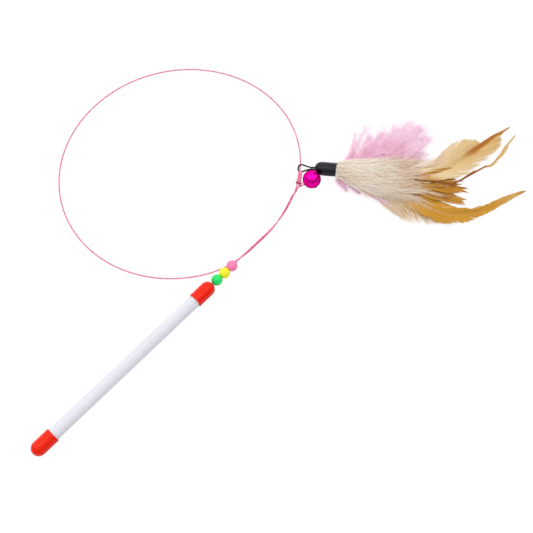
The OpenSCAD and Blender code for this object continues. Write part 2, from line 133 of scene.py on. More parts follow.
class BeadLooks(bpy.types.PropertyGroup):
    """Colours of the three beads."""
    green: bpy.props.FloatVectorProperty(
        name="Green bead", description="Colour of the bead by the handle", subtype="COLOR", size=4,
        min=0, max=1, default=srgb(0, 232, 108))
    yellow: bpy.props.FloatVectorProperty(
        name="Yellow bead", description="Colour of the middle bead", subtype="COLOR", size=4,
        min=0, max=1, default=srgb(255, 248, 30))
    pink: bpy.props.FloatVectorProperty(
        name="Pink bead", description="Colour of the last bead", subtype="COLOR", size=4,
        min=0, max=1, default=srgb(255, 132, 186))
    hole_round: bpy.props.FloatProperty(
        name="Hole rounding", description="Radius of the edge at a bead's hole", unit="LENGTH", default=0.3 * MM)


class BellLooks(bpy.types.PropertyGroup):
    """Colour and edges of the bell."""
    lacquer: bpy.props.FloatVectorProperty(
        name="Lacquer", description="Colour of the lacquered shell", subtype="COLOR", size=4,
        min=0, max=1, default=srgb(255, 12, 176))
    rim_tint: bpy.props.FloatVectorProperty(
        name="Glancing tint", description="Tint of the lacquer seen at a glancing angle", subtype="COLOR", size=4,
        min=0, max=1, default=srgb(120, 0, 70))
    edge_round: bpy.props.FloatProperty(
        name="Edge rounding", description="Rounding of the shells' cut edges", unit="LENGTH", default=0.07 * MM)


class LureLooks(bpy.types.PropertyGroup):
    """Sizes and colours of the sleeve, the elastic and the feathers."""
    black: bpy.props.FloatVectorProperty(
        name="Black", description="Colour of the vinyl sleeve", subtype="COLOR", size=4,
        min=0, max=1, default=srgb(4, 4, 6))
    elastic: bpy.props.FloatVectorProperty(
        name="Elastic", description="Colour of the woven elastic", subtype="COLOR", size=4,
        min=0, max=1, default=srgb(16, 15, 18))
    cream: bpy.props.FloatVectorProperty(
        name="Cream", description="Colour of the root fluff", subtype="COLOR", size=4,
        min=0, max=1, default=srgb(251, 244, 232))
    tan: bpy.props.FloatVectorProperty(
        name="Tan", description="Colour of the darker streaks in the root fluff", subtype="COLOR", size=4,
        min=0, max=1, default=srgb(234, 206, 176))
    pink: bpy.props.FloatVectorProperty(
        name="Marabou pink", description="Colour of the dyed down", subtype="COLOR", size=4,
        min=0, max=1, default=srgb(255, 228, 245))
    ginger: bpy.props.FloatVectorProperty(
        name="Ginger", description="Colour of the long feathers", subtype="COLOR", size=4,
        min=0, max=1, default=srgb(208, 150, 32))
    brown: bpy.props.FloatVectorProperty(
        name="Brown", description="Colour of the feathers' dark stripes", subtype="COLOR", size=4,
        min=0, max=1, default=srgb(170, 92, 0))
    peach: bpy.props.FloatVectorProperty(
        name="Peach", description="Colour of the pale feather", subtype="COLOR", size=4,
        min=0, max=1, default=srgb(236, 211, 164))


class StageLooks(bpy.types.PropertyGroup):
    """Floor, light and camera."""
    floor_size: bpy.props.FloatProperty(
        name="Floor size", description="Width of the floor", unit="LENGTH", default=8.0)
    world_level: bpy.props.FloatProperty(
        name="World level", description="Strength of the even light", default=1.0)
    panel_level: bpy.props.FloatProperty(
        name="Panel level", description="Brightness of the soft panel's face", default=0.2)
    edge_level: bpy.props.FloatProperty(
        name="Edge level", description="Brightness of the strips along the panel", default=3.8)
    lens: bpy.props.FloatProperty(
        name="Lens", description="Focal length in millimetres on a 36 mm sensor", default=54.03)


LOOKS = {
    "wand_handle": HandleLooks, "wand_wire": WireLooks, "wand_beads": BeadLooks,
    "wand_bell": BellLooks, "wand_lure": LureLooks, "wand_stage": StageLooks}


def build_mesh(name, points, faces, chart=None, smooth=True):
    """One mesh object at the origin from arrays: points (n, 3) and a list of face arrays, each (m, corners).
    chart holds a UV pair for each point."""
    faces = [f for f in faces if len(f)]
    ring = np.concatenate([f.ravel() for f in faces]).astype(np.int32)
    sizes = np.concatenate([np.full(len(f), f.shape[1]) for f in faces])
    mesh = bpy.data.meshes.new(name)
    mesh.vertices.add(len(points))
    mesh.vertices.foreach_set("co", np.asarray(points, np.float32).ravel())
    mesh.loops.add(len(ring))
    mesh.loops.foreach_set("vertex_index", ring)
    mesh.polygons.add(len(sizes))
    mesh.polygons.foreach_set("loop_start", np.concatenate([[0], np.cumsum(sizes)[:-1]]).astype(np.int32))
    mesh.update(calc_edges=True)
    if chart is not None:
        layer = mesh.uv_layers.new(name=CHART)
        layer.data.foreach_set("uv", np.asarray(chart, np.float32)[ring].ravel())
    mesh.polygons.foreach_set("use_smooth", np.full(len(sizes), smooth))
    mesh.validate()
    piece = bpy.data.objects.new(name, mesh)
    bpy.context.scene.collection.objects.link(piece)
    return piece


def grid_faces(rows, columns, closed_rows=False):
    """Four-cornered faces of a grid whose columns wrap round, and whose rows may wrap too."""
    row = np.arange(rows if closed_rows else rows - 1)[:, None]
    column = np.arange(columns)[None, :]
    after, beside = (row + 1) % rows, (column + 1) % columns
    return np.stack([row * columns + column, row * columns + beside,
                     after * columns + beside, after * columns + column], -1).reshape(-1, 4)


def unit(vectors):
    return vectors / np.maximum(np.linalg.norm(vectors, axis=-1, keepdims=True), 1e-12)


def revolve(name, profile, origin, axis, columns=96, ripple=None):
    """A profile turned about an axis. profile is a closed outline of (distance along the axis, radius), run so
    that its outer side goes with the axis: point = origin + along * axis + radius * (cos, sin) in the cross plane.
    An outline that starts and ends on the axis is closed there. ripple scales the radius by place and angle."""
    profile = np.asarray(profile, float)
    axis = unit(np.asarray(axis, float))
    across = unit(np.cross([0, 1, 0], axis))
    upward = np.cross(axis, across)
    turn = np.linspace(0, 2 * np.pi, columns, endpoint=False)
    radius = profile[:, 1][:, None] * (1 + (ripple(profile[:, 0][:, None], turn[None, :]) if ripple else 0))
    spoke = np.cos(turn)[None, :, None] * across + np.sin(turn)[None, :, None] * upward
    points = np.asarray(origin) + profile[:, 0][:, None, None] * axis + radius[..., None] * spoke
    rows = len(profile)
    on_axis = profile[:, 1] < 1e-9
    chart = np.stack(np.broadcast_arrays(np.linspace(0, 1, rows)[:, None], turn[None, :] / (2 * np.pi)), -1)
    if on_axis[0] and on_axis[-1]:
        inner = points[1:-1].reshape(-1, 3)
        count = len(inner)
        points = np.concatenate([inner, points[:1, 0], points[-1:, 0]])
        chart = np.concatenate([chart[1:-1].reshape(-1, 2), chart[:1, 0], chart[-1:, 0]])
        column = np.arange(columns)
        beside = (column + 1) % columns
        last = count - columns
        fans = np.concatenate([
            np.stack([np.full(columns, count), beside, column], -1),
            np.stack([np.full(columns, count + 1), last + column, last + beside], -1)])
        return build_mesh(name, points, [grid_faces(rows - 2, columns), fans], chart)
    faces = grid_faces(rows, columns, closed_rows=True)
    return build_mesh(name, points.reshape(-1, 3), [faces], chart.reshape(-1, 2))


def sweep(name, route, radius, columns, chart_turn=1.0):
    """A round skin carried along a route, closed at both ends. At each place the section stands square to the
    route: point = place + radius * (cos * side + sin * upward), where radius may change with place and angle."""
    route = np.asarray(route, float)
    tangent = unit(np.gradient(route, axis=0))
    side = unit(np.cross([0, 0, 1], tangent))
    upward = np.cross(tangent, side)
    turn = np.linspace(0, 2 * np.pi, columns, endpoint=False)
    gone = np.concatenate([[0], np.cumsum(np.linalg.norm(np.diff(route, axis=0), axis=1))])
    radius = np.broadcast_to(radius(gone[:, None], turn[None, :]), (len(route), columns))
    spoke = np.cos(turn)[None, :, None] * side[:, None] + np.sin(turn)[None, :, None] * upward[:, None]
    points = (route[:, None] + radius[..., None] * spoke).reshape(-1, 3)
    chart = np.stack(np.broadcast_arrays(gone[:, None] / gone[-1], chart_turn * turn[None, :] / (2 * np.pi)), -1)
    points = np.concatenate([points, route[:1], route[-1:]])
    chart = np.concatenate([chart.reshape(-1, 2), [[0, 0]], [[1, 0]]])
    column = np.arange(columns)
    beside = (column + 1) % columns
    count = len(route) * columns
    last = count - columns
    fans = np.concatenate([
        np.stack([np.full(columns, count), beside, column], -1),
        np.stack([np.full(columns, count + 1), last + column, last + beside], -1)])
    return build_mesh(name, points, [grid_faces(len(route), columns), fans], chart)


def arc(centre, radius, start, end, steps=8):
    """Points of a circle's arc in the outline plane, from one angle in degrees to another."""
    angle = np.radians(np.linspace(start, end, steps))
    return np.stack([centre[0] + radius * np.cos(angle), centre[1] + radius * np.sin(angle)], -1)


# Materials

def new_material(name):
    material = bpy.data.materials.new(name)
    material.use_nodes = True
    material.node_tree.nodes.clear()
    return material, material.node_tree


def node(tree, kind, **values):
    made = tree.nodes.new(kind)
    for key, value in values.items():
        if key in made.inputs:
            made.inputs[key].default_value = value
        else:
            setattr(made, key, value)
    return made


def link(tree, source, target):
    tree.links.new(source, target)


def surface(tree, **values):
    """The Principled shader with its output, and values set on its own sockets by their names."""
    shader = tree.nodes.new("ShaderNodeBsdfPrincipled")
    for key, value in values.items():
        shader.inputs[key.replace("_", " ")].default_value = value
    output = tree.nodes.new("ShaderNodeOutputMaterial")
    link(tree, shader.outputs["BSDF"], output.inputs["Surface"])
    return shader


def effect_group(name, inputs, outputs):
    """A shader node group with float or colour sockets, as (group, input node, output node)."""
    group = bpy.data.node_groups.new(name, "ShaderNodeTree")
    for label, kind, value in inputs:
        socket = group.interface.new_socket(label, in_out="INPUT", socket_type=kind)
        socket.default_value = value
    for label, kind in outputs:
        group.interface.new_socket(label, in_out="OUTPUT", socket_type=kind)
    return group, group.nodes.new("NodeGroupInput"), group.nodes.new("NodeGroupOutput")


def grain_group():
    """Fine uneven grain: a mask and a height from noise on Object coordinates, stretched along x by Stretch."""
    group, given, result = effect_group(
        "Surface grain",
        [("Scale", "NodeSocketFloat", 400.0), ("Stretch", "NodeSocketFloat", 1.0),
         ("Low", "NodeSocketFloat", 0.3), ("High", "NodeSocketFloat", 0.5)],
        [("Roughness", "NodeSocketFloat"), ("Height", "NodeSocketFloat"), ("Mask", "NodeSocketFloat")])
    place = node(group, "ShaderNodeTexCoord")
    squeeze = node(group, "ShaderNodeCombineXYZ", Y=1.0, Z=1.0)
    link(group, given.outputs["Stretch"], squeeze.inputs["X"])
    scaled = node(group, "ShaderNodeVectorMath", operation="MULTIPLY")
    link(group, place.outputs["Object"], scaled.inputs[0])
    link(group, squeeze.outputs["Vector"], scaled.inputs[1])
    noise = node(group, "ShaderNodeTexNoise", Detail=4.0, Roughness=0.55)
    link(group, scaled.outputs["Vector"], noise.inputs["Vector"])
    link(group, given.outputs["Scale"], noise.inputs["Scale"])
    spread = node(group, "ShaderNodeMapRange")
    spread.inputs["From Min"].default_value = 0.35
    spread.inputs["From Max"].default_value = 0.65
    link(group, noise.outputs["Fac"], spread.inputs["Value"])
    link(group, given.outputs["Low"], spread.inputs["To Min"])
    link(group, given.outputs["High"], spread.inputs["To Max"])
    link(group, spread.outputs["Result"], result.inputs["Roughness"])
    link(group, noise.outputs["Fac"], result.inputs["Height"])
    link(group, noise.outputs["Fac"], result.inputs["Mask"])
    return group


def use_group(tree, group, **values):
    made = tree.nodes.new("ShaderNodeGroup")
    made.node_tree = group
    for key, value in values.items():
        made.inputs[key].default_value = value
    return made


def moulded(name, colour, grain, scale=300.0, stretch=1.0, low=0.3, high=0.45, bump=0.02, shade=0.9, **values):
    """A plastic, vinyl or metal finish: a colour that the grain darkens a little, uneven gloss and a fine bump."""
    material, tree = new_material(name)
    shader = surface(tree, **values)
    grain_and_glint = use_group(tree, grain, Scale=scale, Stretch=stretch, Low=low, High=high)
    tone = node(tree, "ShaderNodeMix", data_type="RGBA")
    tone.inputs["A"].default_value = colour
    tone.inputs["B"].default_value = [shade * channel for channel in colour[:3]] + [1.0]
    spread = node(tree, "ShaderNodeMapRange")
    spread.inputs["From Min"].default_value = 0.4
    spread.inputs["From Max"].default_value = 0.7
    link(tree, grain_and_glint.outputs["Mask"], spread.inputs["Value"])
    link(tree, spread.outputs["Result"], tone.inputs["Factor"])
    link(tree, tone.outputs["Result"], shader.inputs["Base Color"])
    link(tree, grain_and_glint.outputs["Roughness"], shader.inputs["Roughness"])
    dents = node(tree, "ShaderNodeBump", Strength=0.25, Distance=bump * MM)
    link(tree, grain_and_glint.outputs["Height"], dents.inputs["Height"])
    link(tree, dents.outputs["Normal"], shader.inputs["Normal"])
    return material


def dress(piece, material):
    piece.data.materials.clear()
    piece.data.materials.append(material)


def finish_piece(piece, material, body, slot, *nodes):
    """Gives a new piece its material and body, and hides the CAD nodes it stands for. Its slot is not used."""
    dress(piece, material)
    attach(piece, body)
    if nodes:
        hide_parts(*nodes)
    return piece


def dress_node(name, material):
    """A CAD node keeps its mesh and gets this material on its object's own slots."""
    cad = frame["nodes"][name]
    if not cad.material_slots:
        cad.data.materials.append(material)
    for slot in cad.material_slots:
        slot.link = "OBJECT"
        slot.material = material


def shared_grain():
    return bpy.data.node_groups.get("Surface grain") or grain_group()


# Wire route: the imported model's own route, repeated here in metres

LOOP_R = 91.1 * MM
LEAD_R = 88.6 * MM
LOOP_X = 205 * MM
LOOP_Y = 88.3 * MM
LEAD_X = LOOP_X + math.sqrt((LOOP_R - LEAD_R) ** 2 - (LEAD_R - LOOP_Y) ** 2)
JOIN_ANGLE = math.atan2(LEAD_R - LOOP_Y, LEAD_X - LOOP_X)
LEAD_ARC = LEAD_R * (math.pi / 2 + JOIN_ANGLE)
FOIL_R = 0.5 * MM
LOOP_START_X = LIFT_X + 0.15 * MM
SETTLED_Z = FLOOR_Z + FOIL_R
LEAD_DROP = 190 * MM
TWIST_GAP = 1.5 * MM
STRAND_GAP = 0.9 * MM
WIRE_R = 0.36 * MM
TWIST_HALF = 34 * MM
TWIST_LEN = 103.5 * MM
TWIST_START = LEAD_X - LOOP_R / 2 - TWIST_GAP
RETURN_ANGLE = 1.5 * math.pi - math.asin((LOOP_X - TWIST_START) / LOOP_R)
RETURN_SIDE = LOOP_Y + LOOP_R * math.sin(RETURN_ANGLE)
TWIST_FIRST = math.atan2(SETTLED_Z, RETURN_SIDE)
TWIST_WIDTH = math.hypot(RETURN_SIDE, SETTLED_Z)
SETTLE_LEN = 40 * MM
SETTLE_POWER = 2
SLOW_TURN = math.radians(50) / SETTLE_LEN
FULL_TURN = math.pi / TWIST_HALF
TWIST_HOLD = 0.55 * SETTLE_LEN
TWIST_EASE = 0.2 * SETTLE_LEN
BOW_HALF = 3.4 * MM
BOW_OUT = 2.6 * MM
BOW_DROP = 1.6 * MM
BIND_LEN = 7.6 * MM
BIND_TAIL = 1 * MM
BOW_AT = TWIST_START + TWIST_LEN + BIND_TAIL - BIND_LEN - BOW_HALF
BIND_START = BOW_AT + BOW_HALF


def ease(x):
    t = np.clip(x, 0, 1)
    return t * t * (3 - 2 * t)


def strand_angle(s):
    """Heading of the first strand at each length s from the tube's butt end, as if the handle ran on."""
    return np.where(s < LEAD_X, 0, np.where(
        s < LEAD_X + LEAD_ARC, (s - LEAD_X) / LEAD_R,
        math.pi / 2 + JOIN_ANGLE + (s - LEAD_X - LEAD_ARC) / LOOP_R))


def first_strand(s):
    """Straight on the handle's axis, then an arc of the lead radius, then the round loop, sinking to the floor."""
    heading = strand_angle(s)
    height = SETTLED_Z * ease((s - LOOP_START_X) / LEAD_DROP)
    east = np.where(s < LEAD_X, s, np.where(
        s < LEAD_X + LEAD_ARC, LEAD_X + LEAD_R * np.sin(heading), LOOP_X + LOOP_R * np.sin(heading)))
    north = np.where(s < LEAD_X, 0, np.where(
        s < LEAD_X + LEAD_ARC, LEAD_R - LEAD_R * np.cos(heading), LOOP_Y - LOOP_R * np.cos(heading)))
    return np.stack([east, north, height], -1)


def return_strand(s):
    """Round the first strand at a distance that draws in, with a turn that quickens, then bowed out beside it."""
    heading = strand_angle(s)
    side = np.stack([-np.sin(heading), np.cos(heading), 0 * s], -1)
    gone = s - TWIST_START
    apart = STRAND_GAP + (TWIST_WIDTH - STRAND_GAP) * (1 - np.minimum(1, gone / SETTLE_LEN)) ** SETTLE_POWER
    past = gone - TWIST_HOLD
    turn = TWIST_FIRST - SLOW_TURN * gone - (FULL_TURN - SLOW_TURN) * (
        np.hypot(past, TWIST_EASE) + past - math.hypot(TWIST_HOLD, TWIST_EASE) + TWIST_HOLD) / 2
    lift = np.array([0, 0, 1])
    twisted = first_strand(s) + apart[:, None] * (np.cos(turn)[:, None] * side + np.sin(turn)[:, None] * lift)
    bow = (1 - np.minimum(1, np.abs(s - BOW_AT) / BOW_HALF) ** 2) ** 2
    beside = first_strand(s) - (STRAND_GAP + (BOW_OUT - STRAND_GAP) * bow)[:, None] * side
    share = ease((s - BOW_AT + 3 * BOW_HALF) / (2.4 * BOW_HALF))[:, None]
    return (1 - share) * twisted + share * beside - BOW_DROP * np.sin(math.pi * share) * lift


def wire_route(start_x, step):
    """The wire's whole route from start_x on the handle's axis to its end in the foil binding."""
    loop_end = LEAD_X + LEAD_ARC + LOOP_R * (RETURN_ANGLE - JOIN_ANGLE)
    first = first_strand(np.arange(start_x, loop_end, step))
    last = return_strand(np.arange(TWIST_START, TWIST_START + TWIST_LEN, step))
    return np.concatenate([first, last[1:]])


# Feathers

def ends_of_sleeve():
    """How far the sleeve's round end and its mouth lie from the wire, along the lure."""
    mesh = frame["nodes"]["feather_sleeve"].data
    spots = np.empty(len(mesh.vertices) * 3, np.float32)
    mesh.vertices.foreach_get("co", spots)
    along = (spots.reshape(-1, 3) - LURE_AT) @ LURE_AXIS
    return float(along.min()), float(along.max())


SLEEVE_REACH, SLEEVE_MOUTH = ends_of_sleeve()
SLEEVE_LEN = SLEEVE_MOUTH - SLEEVE_REACH


def to_lure(places):
    """Places given ahead of the sleeve's mouth, to its left and above the handle's axis, put into the frame."""
    along = SLEEVE_MOUTH + places[..., 0]
    east = LURE_AT[0] + along * LURE_AXIS[0] - places[..., 1] * LURE_AXIS[1]
    north = LURE_AT[1] + along * LURE_AXIS[1] + places[..., 1] * LURE_AXIS[0]
    return np.stack([east, north, places[..., 2]], -1)


def bend(points, t):
    """A smooth curve through given places: a Catmull-Rom spline read at shares t of its length in places."""
    points = np.asarray(points, float)
    ends = np.concatenate([[2 * points[0] - points[1]], points, [2 * points[-1] - points[-2]]])
    at = np.clip(t, 0, 1) * (len(points) - 1)
    i = np.minimum(at.astype(int), len(points) - 2)
    f = (at - i)[..., None]
    a, b, c, d = ends[i], ends[i + 1], ends[i + 2], ends[i + 3]
    return 0.5 * (2 * b + (c - a) * f + (2 * a - 5 * b + 4 * c - d) * f ** 2 + (3 * b - a - 3 * c + d) * f ** 3)


def barbs(name, paths, wide, thick, upward, along, tone, sides, reach=1.0):
    """Closed tapering strands. paths (n, k, 3) are their centre lines in the lure's frame, wide and thick the
    half widths (n, k) beside and along upward (n, 3): point = place + wide * cos * side + thick * sin * upward.
    The chart holds how far along its feather each strand stands, and its tone band plus its own length share, which
    reach scales down for strands shorter than the feather's longest."""
    count, steps, _ = paths.shape
    tangent = unit(np.gradient(paths, axis=1))
    side = unit(np.cross(upward[:, None], tangent))
    above = np.cross(tangent, side)
    turn = 2 * np.pi * np.arange(sides) / sides
    ring = (paths[:, :, None] + wide[:, :, None, None] * np.cos(turn)[:, None] * side[:, :, None]
            + thick[:, :, None, None] * np.sin(turn)[:, None] * above[:, :, None])
    points = to_lure(ring.reshape(-1, 3))
    each = grid_faces(steps, sides)
    shift = (np.arange(count) * steps * sides)[:, None, None]
    walls = (each[None] + shift).reshape(-1, 4)
    root = np.arange(sides)[::-1][None] + shift[:, 0]
    tip = (steps - 1) * sides + np.arange(sides)[None] + shift[:, 0]
    band = np.floor(np.clip(tone, 0, 0.999) * TONES)
    own = np.linspace(0.03, 0.97, steps)
    across = (band[:, None] + own[None, :] * np.broadcast_to(reach, (count,))[:, None]) / TONES
    chart = np.stack([np.broadcast_to(along[:, None], across.shape), across], -1)
    chart = np.repeat(chart.reshape(-1, 2), sides, axis=0)
    return build_mesh(name, points, [walls, np.concatenate([root, tip])], chart, smooth=sides != 4)


def dense(outline, steps):
    """Given places made dense: (steps, 3) on a smooth curve through them, in metres from millimetres."""
    return bend(outline, np.linspace(0, 1, steps)) * MM


def vane_barbs(rng, shaft, left, right, count, lean, curl, split, lift, start=0.0, end=1.0):
    """Barbs of one feather: count on each side of the shaft, each a curve that leaves the shaft at lean degrees
    and turns towards its tip by curl degrees. left and right are tables of half widths along the shaft, in metres.
    Barbs hang together in clumps whose tips draw together by split, so gaps open at the vane's edge."""
    steps = 8
    place = np.linspace(start, end, count)
    where = bend(shaft, place)
    ahead = unit(bend(shaft, place + 0.01) - bend(shaft, place - 0.01))
    beside = unit(np.cross([0, 0, 1], ahead))
    above = np.cross(ahead, beside)
    parts = []
    for sign, width in ((1, left), (-1, right)):
        width = np.asarray(width, float)
        reach = np.interp(place, np.linspace(0, 1, len(width)), width)
        clump = np.cumsum(rng.random(count) < 0.06)
        centre = np.bincount(clump, place) / np.maximum(np.bincount(clump), 1)
        clump_long = rng.normal(1, 0.06, clump.max() + 1)[clump]
        clump_lean = rng.normal(0, 1.8, clump.max() + 1)[clump]
        own = 1 - np.abs(rng.normal(0, 0.07, count))
        angle = np.radians(np.interp(place, [0, 1], lean) + clump_lean + rng.normal(0, 0.8, count))
        length = reach * clump_long * own / np.maximum(np.sin(angle), 0.2)
        t = np.linspace(0, 1, steps)
        turned = angle[:, None] - np.radians(curl) * t[None, :]
        step = length[:, None, None] / (steps - 1) * (
            np.cos(turned)[..., None] * ahead[:, None] + sign * np.sin(turned)[..., None] * beside[:, None])
        gone = np.cumsum(step, axis=1) - step[:, :1]
        pull = (centre[clump] - place)[:, None] * split * t[None, :] ** 2
        span = np.linalg.norm(bend(shaft, np.array([1.0])) - bend(shaft, np.array([0.0]))) * pull
        cup = lift * np.sin(np.pi * 0.7 * t[None, :]) * reach[:, None]
        ripple = rng.normal(0, 0.12 * MM, clump.max() + 1)[clump][:, None] * t[None, :]
        paths = where[:, None] + gone + span[..., None] * ahead[:, None] + (cup + ripple)[..., None] * above[:, None]
        parts.append((paths, place, above, clump, length))
    return parts


def feather_piece(name, seed, shaft, left, right, count, lean=(46, 24), curl=16, split=0.5, lift=0.10,
                  barb_w=0.32, start=0.0, end=1.0, shaft_r=0.42, tones=(0.0, 1.0)):
    """One long feather: a tapering shaft and two vanes of flat barbs, as two meshes."""
    rng = np.random.default_rng(SEED + seed)
    curve = np.asarray(shaft, float) * MM
    parts = vane_barbs(rng, curve, np.asarray(left) * MM, np.asarray(right) * MM, count, lean, curl, split, lift,
                       start, end)
    paths = np.concatenate([p[0] for p in parts])
    place = np.concatenate([p[1] for p in parts])
    above = np.concatenate([p[2] for p in parts])
    clump = np.concatenate([p[3] for p in parts])
    length = np.concatenate([p[4] for p in parts])
    steps = paths.shape[1]
    taper = 1 - 0.75 * np.linspace(0, 1, steps)[None, :] ** 2
    wide = barb_w * MM * taper * rng.uniform(0.85, 1.15, (len(paths), 1))
    thick = 0.05 * MM * taper * np.ones((len(paths), 1))
    tone = tones[0] + (tones[1] - tones[0]) * np.clip(
        rng.random(clump.max() + 1)[clump] * 0.6 + rng.random(len(paths)) * 0.4, 0, 0.99)
    tilted = unit(above + 0.25 * unit(np.gradient(paths, axis=1)[:, 0]))
    vane = barbs(name, paths, wide, thick, tilted, place, tone, 4, reach=np.minimum(length / (16 * MM), 1))
    line = bend(curve, np.linspace(0, 1, 60))
    radius = shaft_r * MM * (1 - 0.82 * np.linspace(0, 1, 60))
    quill = barbs(name + "_shaft", line[None], radius[None], radius[None], np.array([[0.0, 0, 1]]),
                  np.array([0.0]), np.array([0.0]), 8)
    return vane, quill


def join(pieces):
    """Several mesh objects made one, keeping the first one's name and each one's material."""
    main = pieces[0]
    bpy.ops.object.select_all(action="DESELECT")
    for piece in pieces:
        piece.select_set(True)
    bpy.context.view_layer.objects.active = main
    bpy.ops.object.join()
    return main


def chart_group():
    """Reads the feather chart: Along the feather, the barb's own share from root to tip, and its Tone."""
    group, given, result = effect_group(
        "Barb chart", [], [("Along", "NodeSocketFloat"), ("Barb", "NodeSocketFloat"), ("Tone", "NodeSocketFloat")])
    chart = node(group, "ShaderNodeUVMap", uv_map=CHART)
    split = node(group, "ShaderNodeSeparateXYZ")
    link(group, chart.outputs["UV"], split.inputs["Vector"])
    bands = node(group, "ShaderNodeMath", operation="MULTIPLY")
    bands.inputs[1].default_value = TONES
    link(group, split.outputs["Y"], bands.inputs[0])
    whole = node(group, "ShaderNodeMath", operation="FLOOR")
    link(group, bands.outputs["Value"], whole.inputs[0])
    tone = node(group, "ShaderNodeMath", operation="DIVIDE")
    tone.inputs[1].default_value = TONES - 1
    link(group, whole.outputs["Value"], tone.inputs[0])
    own = node(group, "ShaderNodeMath", operation="FRACT")
    link(group, bands.outputs["Value"], own.inputs[0])
    link(group, split.outputs["X"], result.inputs["Along"])
    link(group, own.outputs["Value"], result.inputs["Barb"])
    link(group, tone.outputs["Value"], result.inputs["Tone"])
    return group


def shared_chart():
    return bpy.data.node_groups.get("Barb chart") or chart_group()


def ramp(tree, source, stops):
    made = tree.nodes.new("ShaderNodeValToRGB")
    elements = made.color_ramp.elements
    elements.remove(elements[1])
    for k, (at, colour) in enumerate(stops):
        element = elements[0] if k == 0 else elements.new(at)
        element.position = at
        element.color = colour
    link(tree, source, made.inputs["Fac"])
    return made.outputs["Color"]


def mix(tree, factor, first, second, blend="MIX"):
    made = node(tree, "ShaderNodeMix", data_type="RGBA", blend_type=blend)
    for name, value in (("Factor", factor), ("A", first), ("B", second)):
        if isinstance(value, bpy.types.NodeSocket):
            link(tree, value, made.inputs[name])
        else:
            made.inputs[name].default_value = value
    return made.outputs["Result"]


def grey(level):
    return (level, level, level, 1.0)


def feather_material(name, along, own, tones, sheen=0.35, roughness=0.6, stripe=None):
    """A feather's colour: a ramp along the feather, times a ramp along each barb, times a ramp over the tones.
    stripe is (colour, ramp along the feather, ramp along the barb): the two ramps' product paints the colour."""
    material, tree = new_material(name)
    shader = surface(tree, Roughness=roughness, Sheen_Weight=sheen, Sheen_Roughness=0.5, Specular_IOR_Level=0.3)
    chart = use_group(tree, shared_chart())
    colour = ramp(tree, chart.outputs["Along"], along)
    colour = mix(tree, 1.0, colour, ramp(tree, chart.outputs["Barb"], own), "MULTIPLY")
    if stripe:
        paint, lengthwise, outward = stripe
        share = node(tree, "ShaderNodeMath", operation="MULTIPLY")
        link(tree, ramp(tree, chart.outputs["Along"], lengthwise), share.inputs[0])
        link(tree, ramp(tree, chart.outputs["Barb"], outward), share.inputs[1])
        colour = mix(tree, share.outputs["Value"], colour, paint)
    colour = mix(tree, 1.0, colour, ramp(tree, chart.outputs["Tone"], tones), "MULTIPLY")
    link(tree, colour, shader.inputs["Base Color"])
    return material


def between(first, second, share):
    return tuple((1 - share) * a + share * b for a, b in zip(first, second))


def looks(name):
    return getattr(bpy.context.scene, name)


class WAND_OT_stage(bpy.types.Operator):
    """Floor, world, lamps and the camera at the photograph's viewing angle"""
    bl_idname = "wand.stage"
    bl_label = "Stage"

    def execute(self, context):
        size = looks("wand_stage")
        make_floor(size.floor_size)
        make_world(size.world_level)
        make_lamps(size.panel_level, size.edge_level)
        make_camera(size.lens)
        context.scene.view_settings.view_transform = "Standard"
        return {"FINISHED"}


def background_rays(tree):
    """1 for rays that should see the white backdrop: straight from the camera or through something clear."""
    rays = tree.nodes.new("ShaderNodeLightPath")
    either = node(tree, "ShaderNodeMath", operation="MAXIMUM")
    link(tree, rays.outputs["Is Camera Ray"], either.inputs[0])
    link(tree, rays.outputs["Is Transmission Ray"], either.inputs[1])
    return either.outputs["Value"]


def make_floor(width):
    half = width / 2
    points = np.array([[-half, -half, 0], [half, -half, 0], [half, half, 0], [-half, half, 0]])
    floor = build_mesh("floor", points + [0, 0, FLOOR_Z - 0.02 * MM], [np.array([[0, 1, 2, 3]])], smooth=False)
    material, tree = new_material("White floor")
    seen = background_rays(tree)
    glow = node(tree, "ShaderNodeEmission", Strength=0.93)
    dull = node(tree, "ShaderNodeBsdfDiffuse")
    tone = mix(tree, seen, grey(0.8), grey(0.09))
    link(tree, tone, dull.inputs["Color"])
    nothing = node(tree, "ShaderNodeEmission", Strength=0.0)
    choice = node(tree, "ShaderNodeMixShader")
    link(tree, seen, choice.inputs["Fac"])
    link(tree, nothing.outputs["Emission"], choice.inputs[1])
    link(tree, glow.outputs["Emission"], choice.inputs[2])
    both = tree.nodes.new("ShaderNodeAddShader")
    link(tree, choice.outputs["Shader"], both.inputs[0])
    link(tree, dull.outputs["BSDF"], both.inputs[1])
    output = tree.nodes.new("ShaderNodeOutputMaterial")
    link(tree, both.outputs["Shader"], output.inputs["Surface"])
    dress(floor, material)


TABLE_TURN = math.radians(39.127)
UP_THE_PICTURE = np.array([math.sin(TABLE_TURN), math.cos(TABLE_TURN), 0])
ALONG_THE_PICTURE = np.array([math.cos(TABLE_TURN), -math.sin(TABLE_TURN), 0])
SKY_LEAN = math.radians(8)
SIDE_SHARE = 0.46


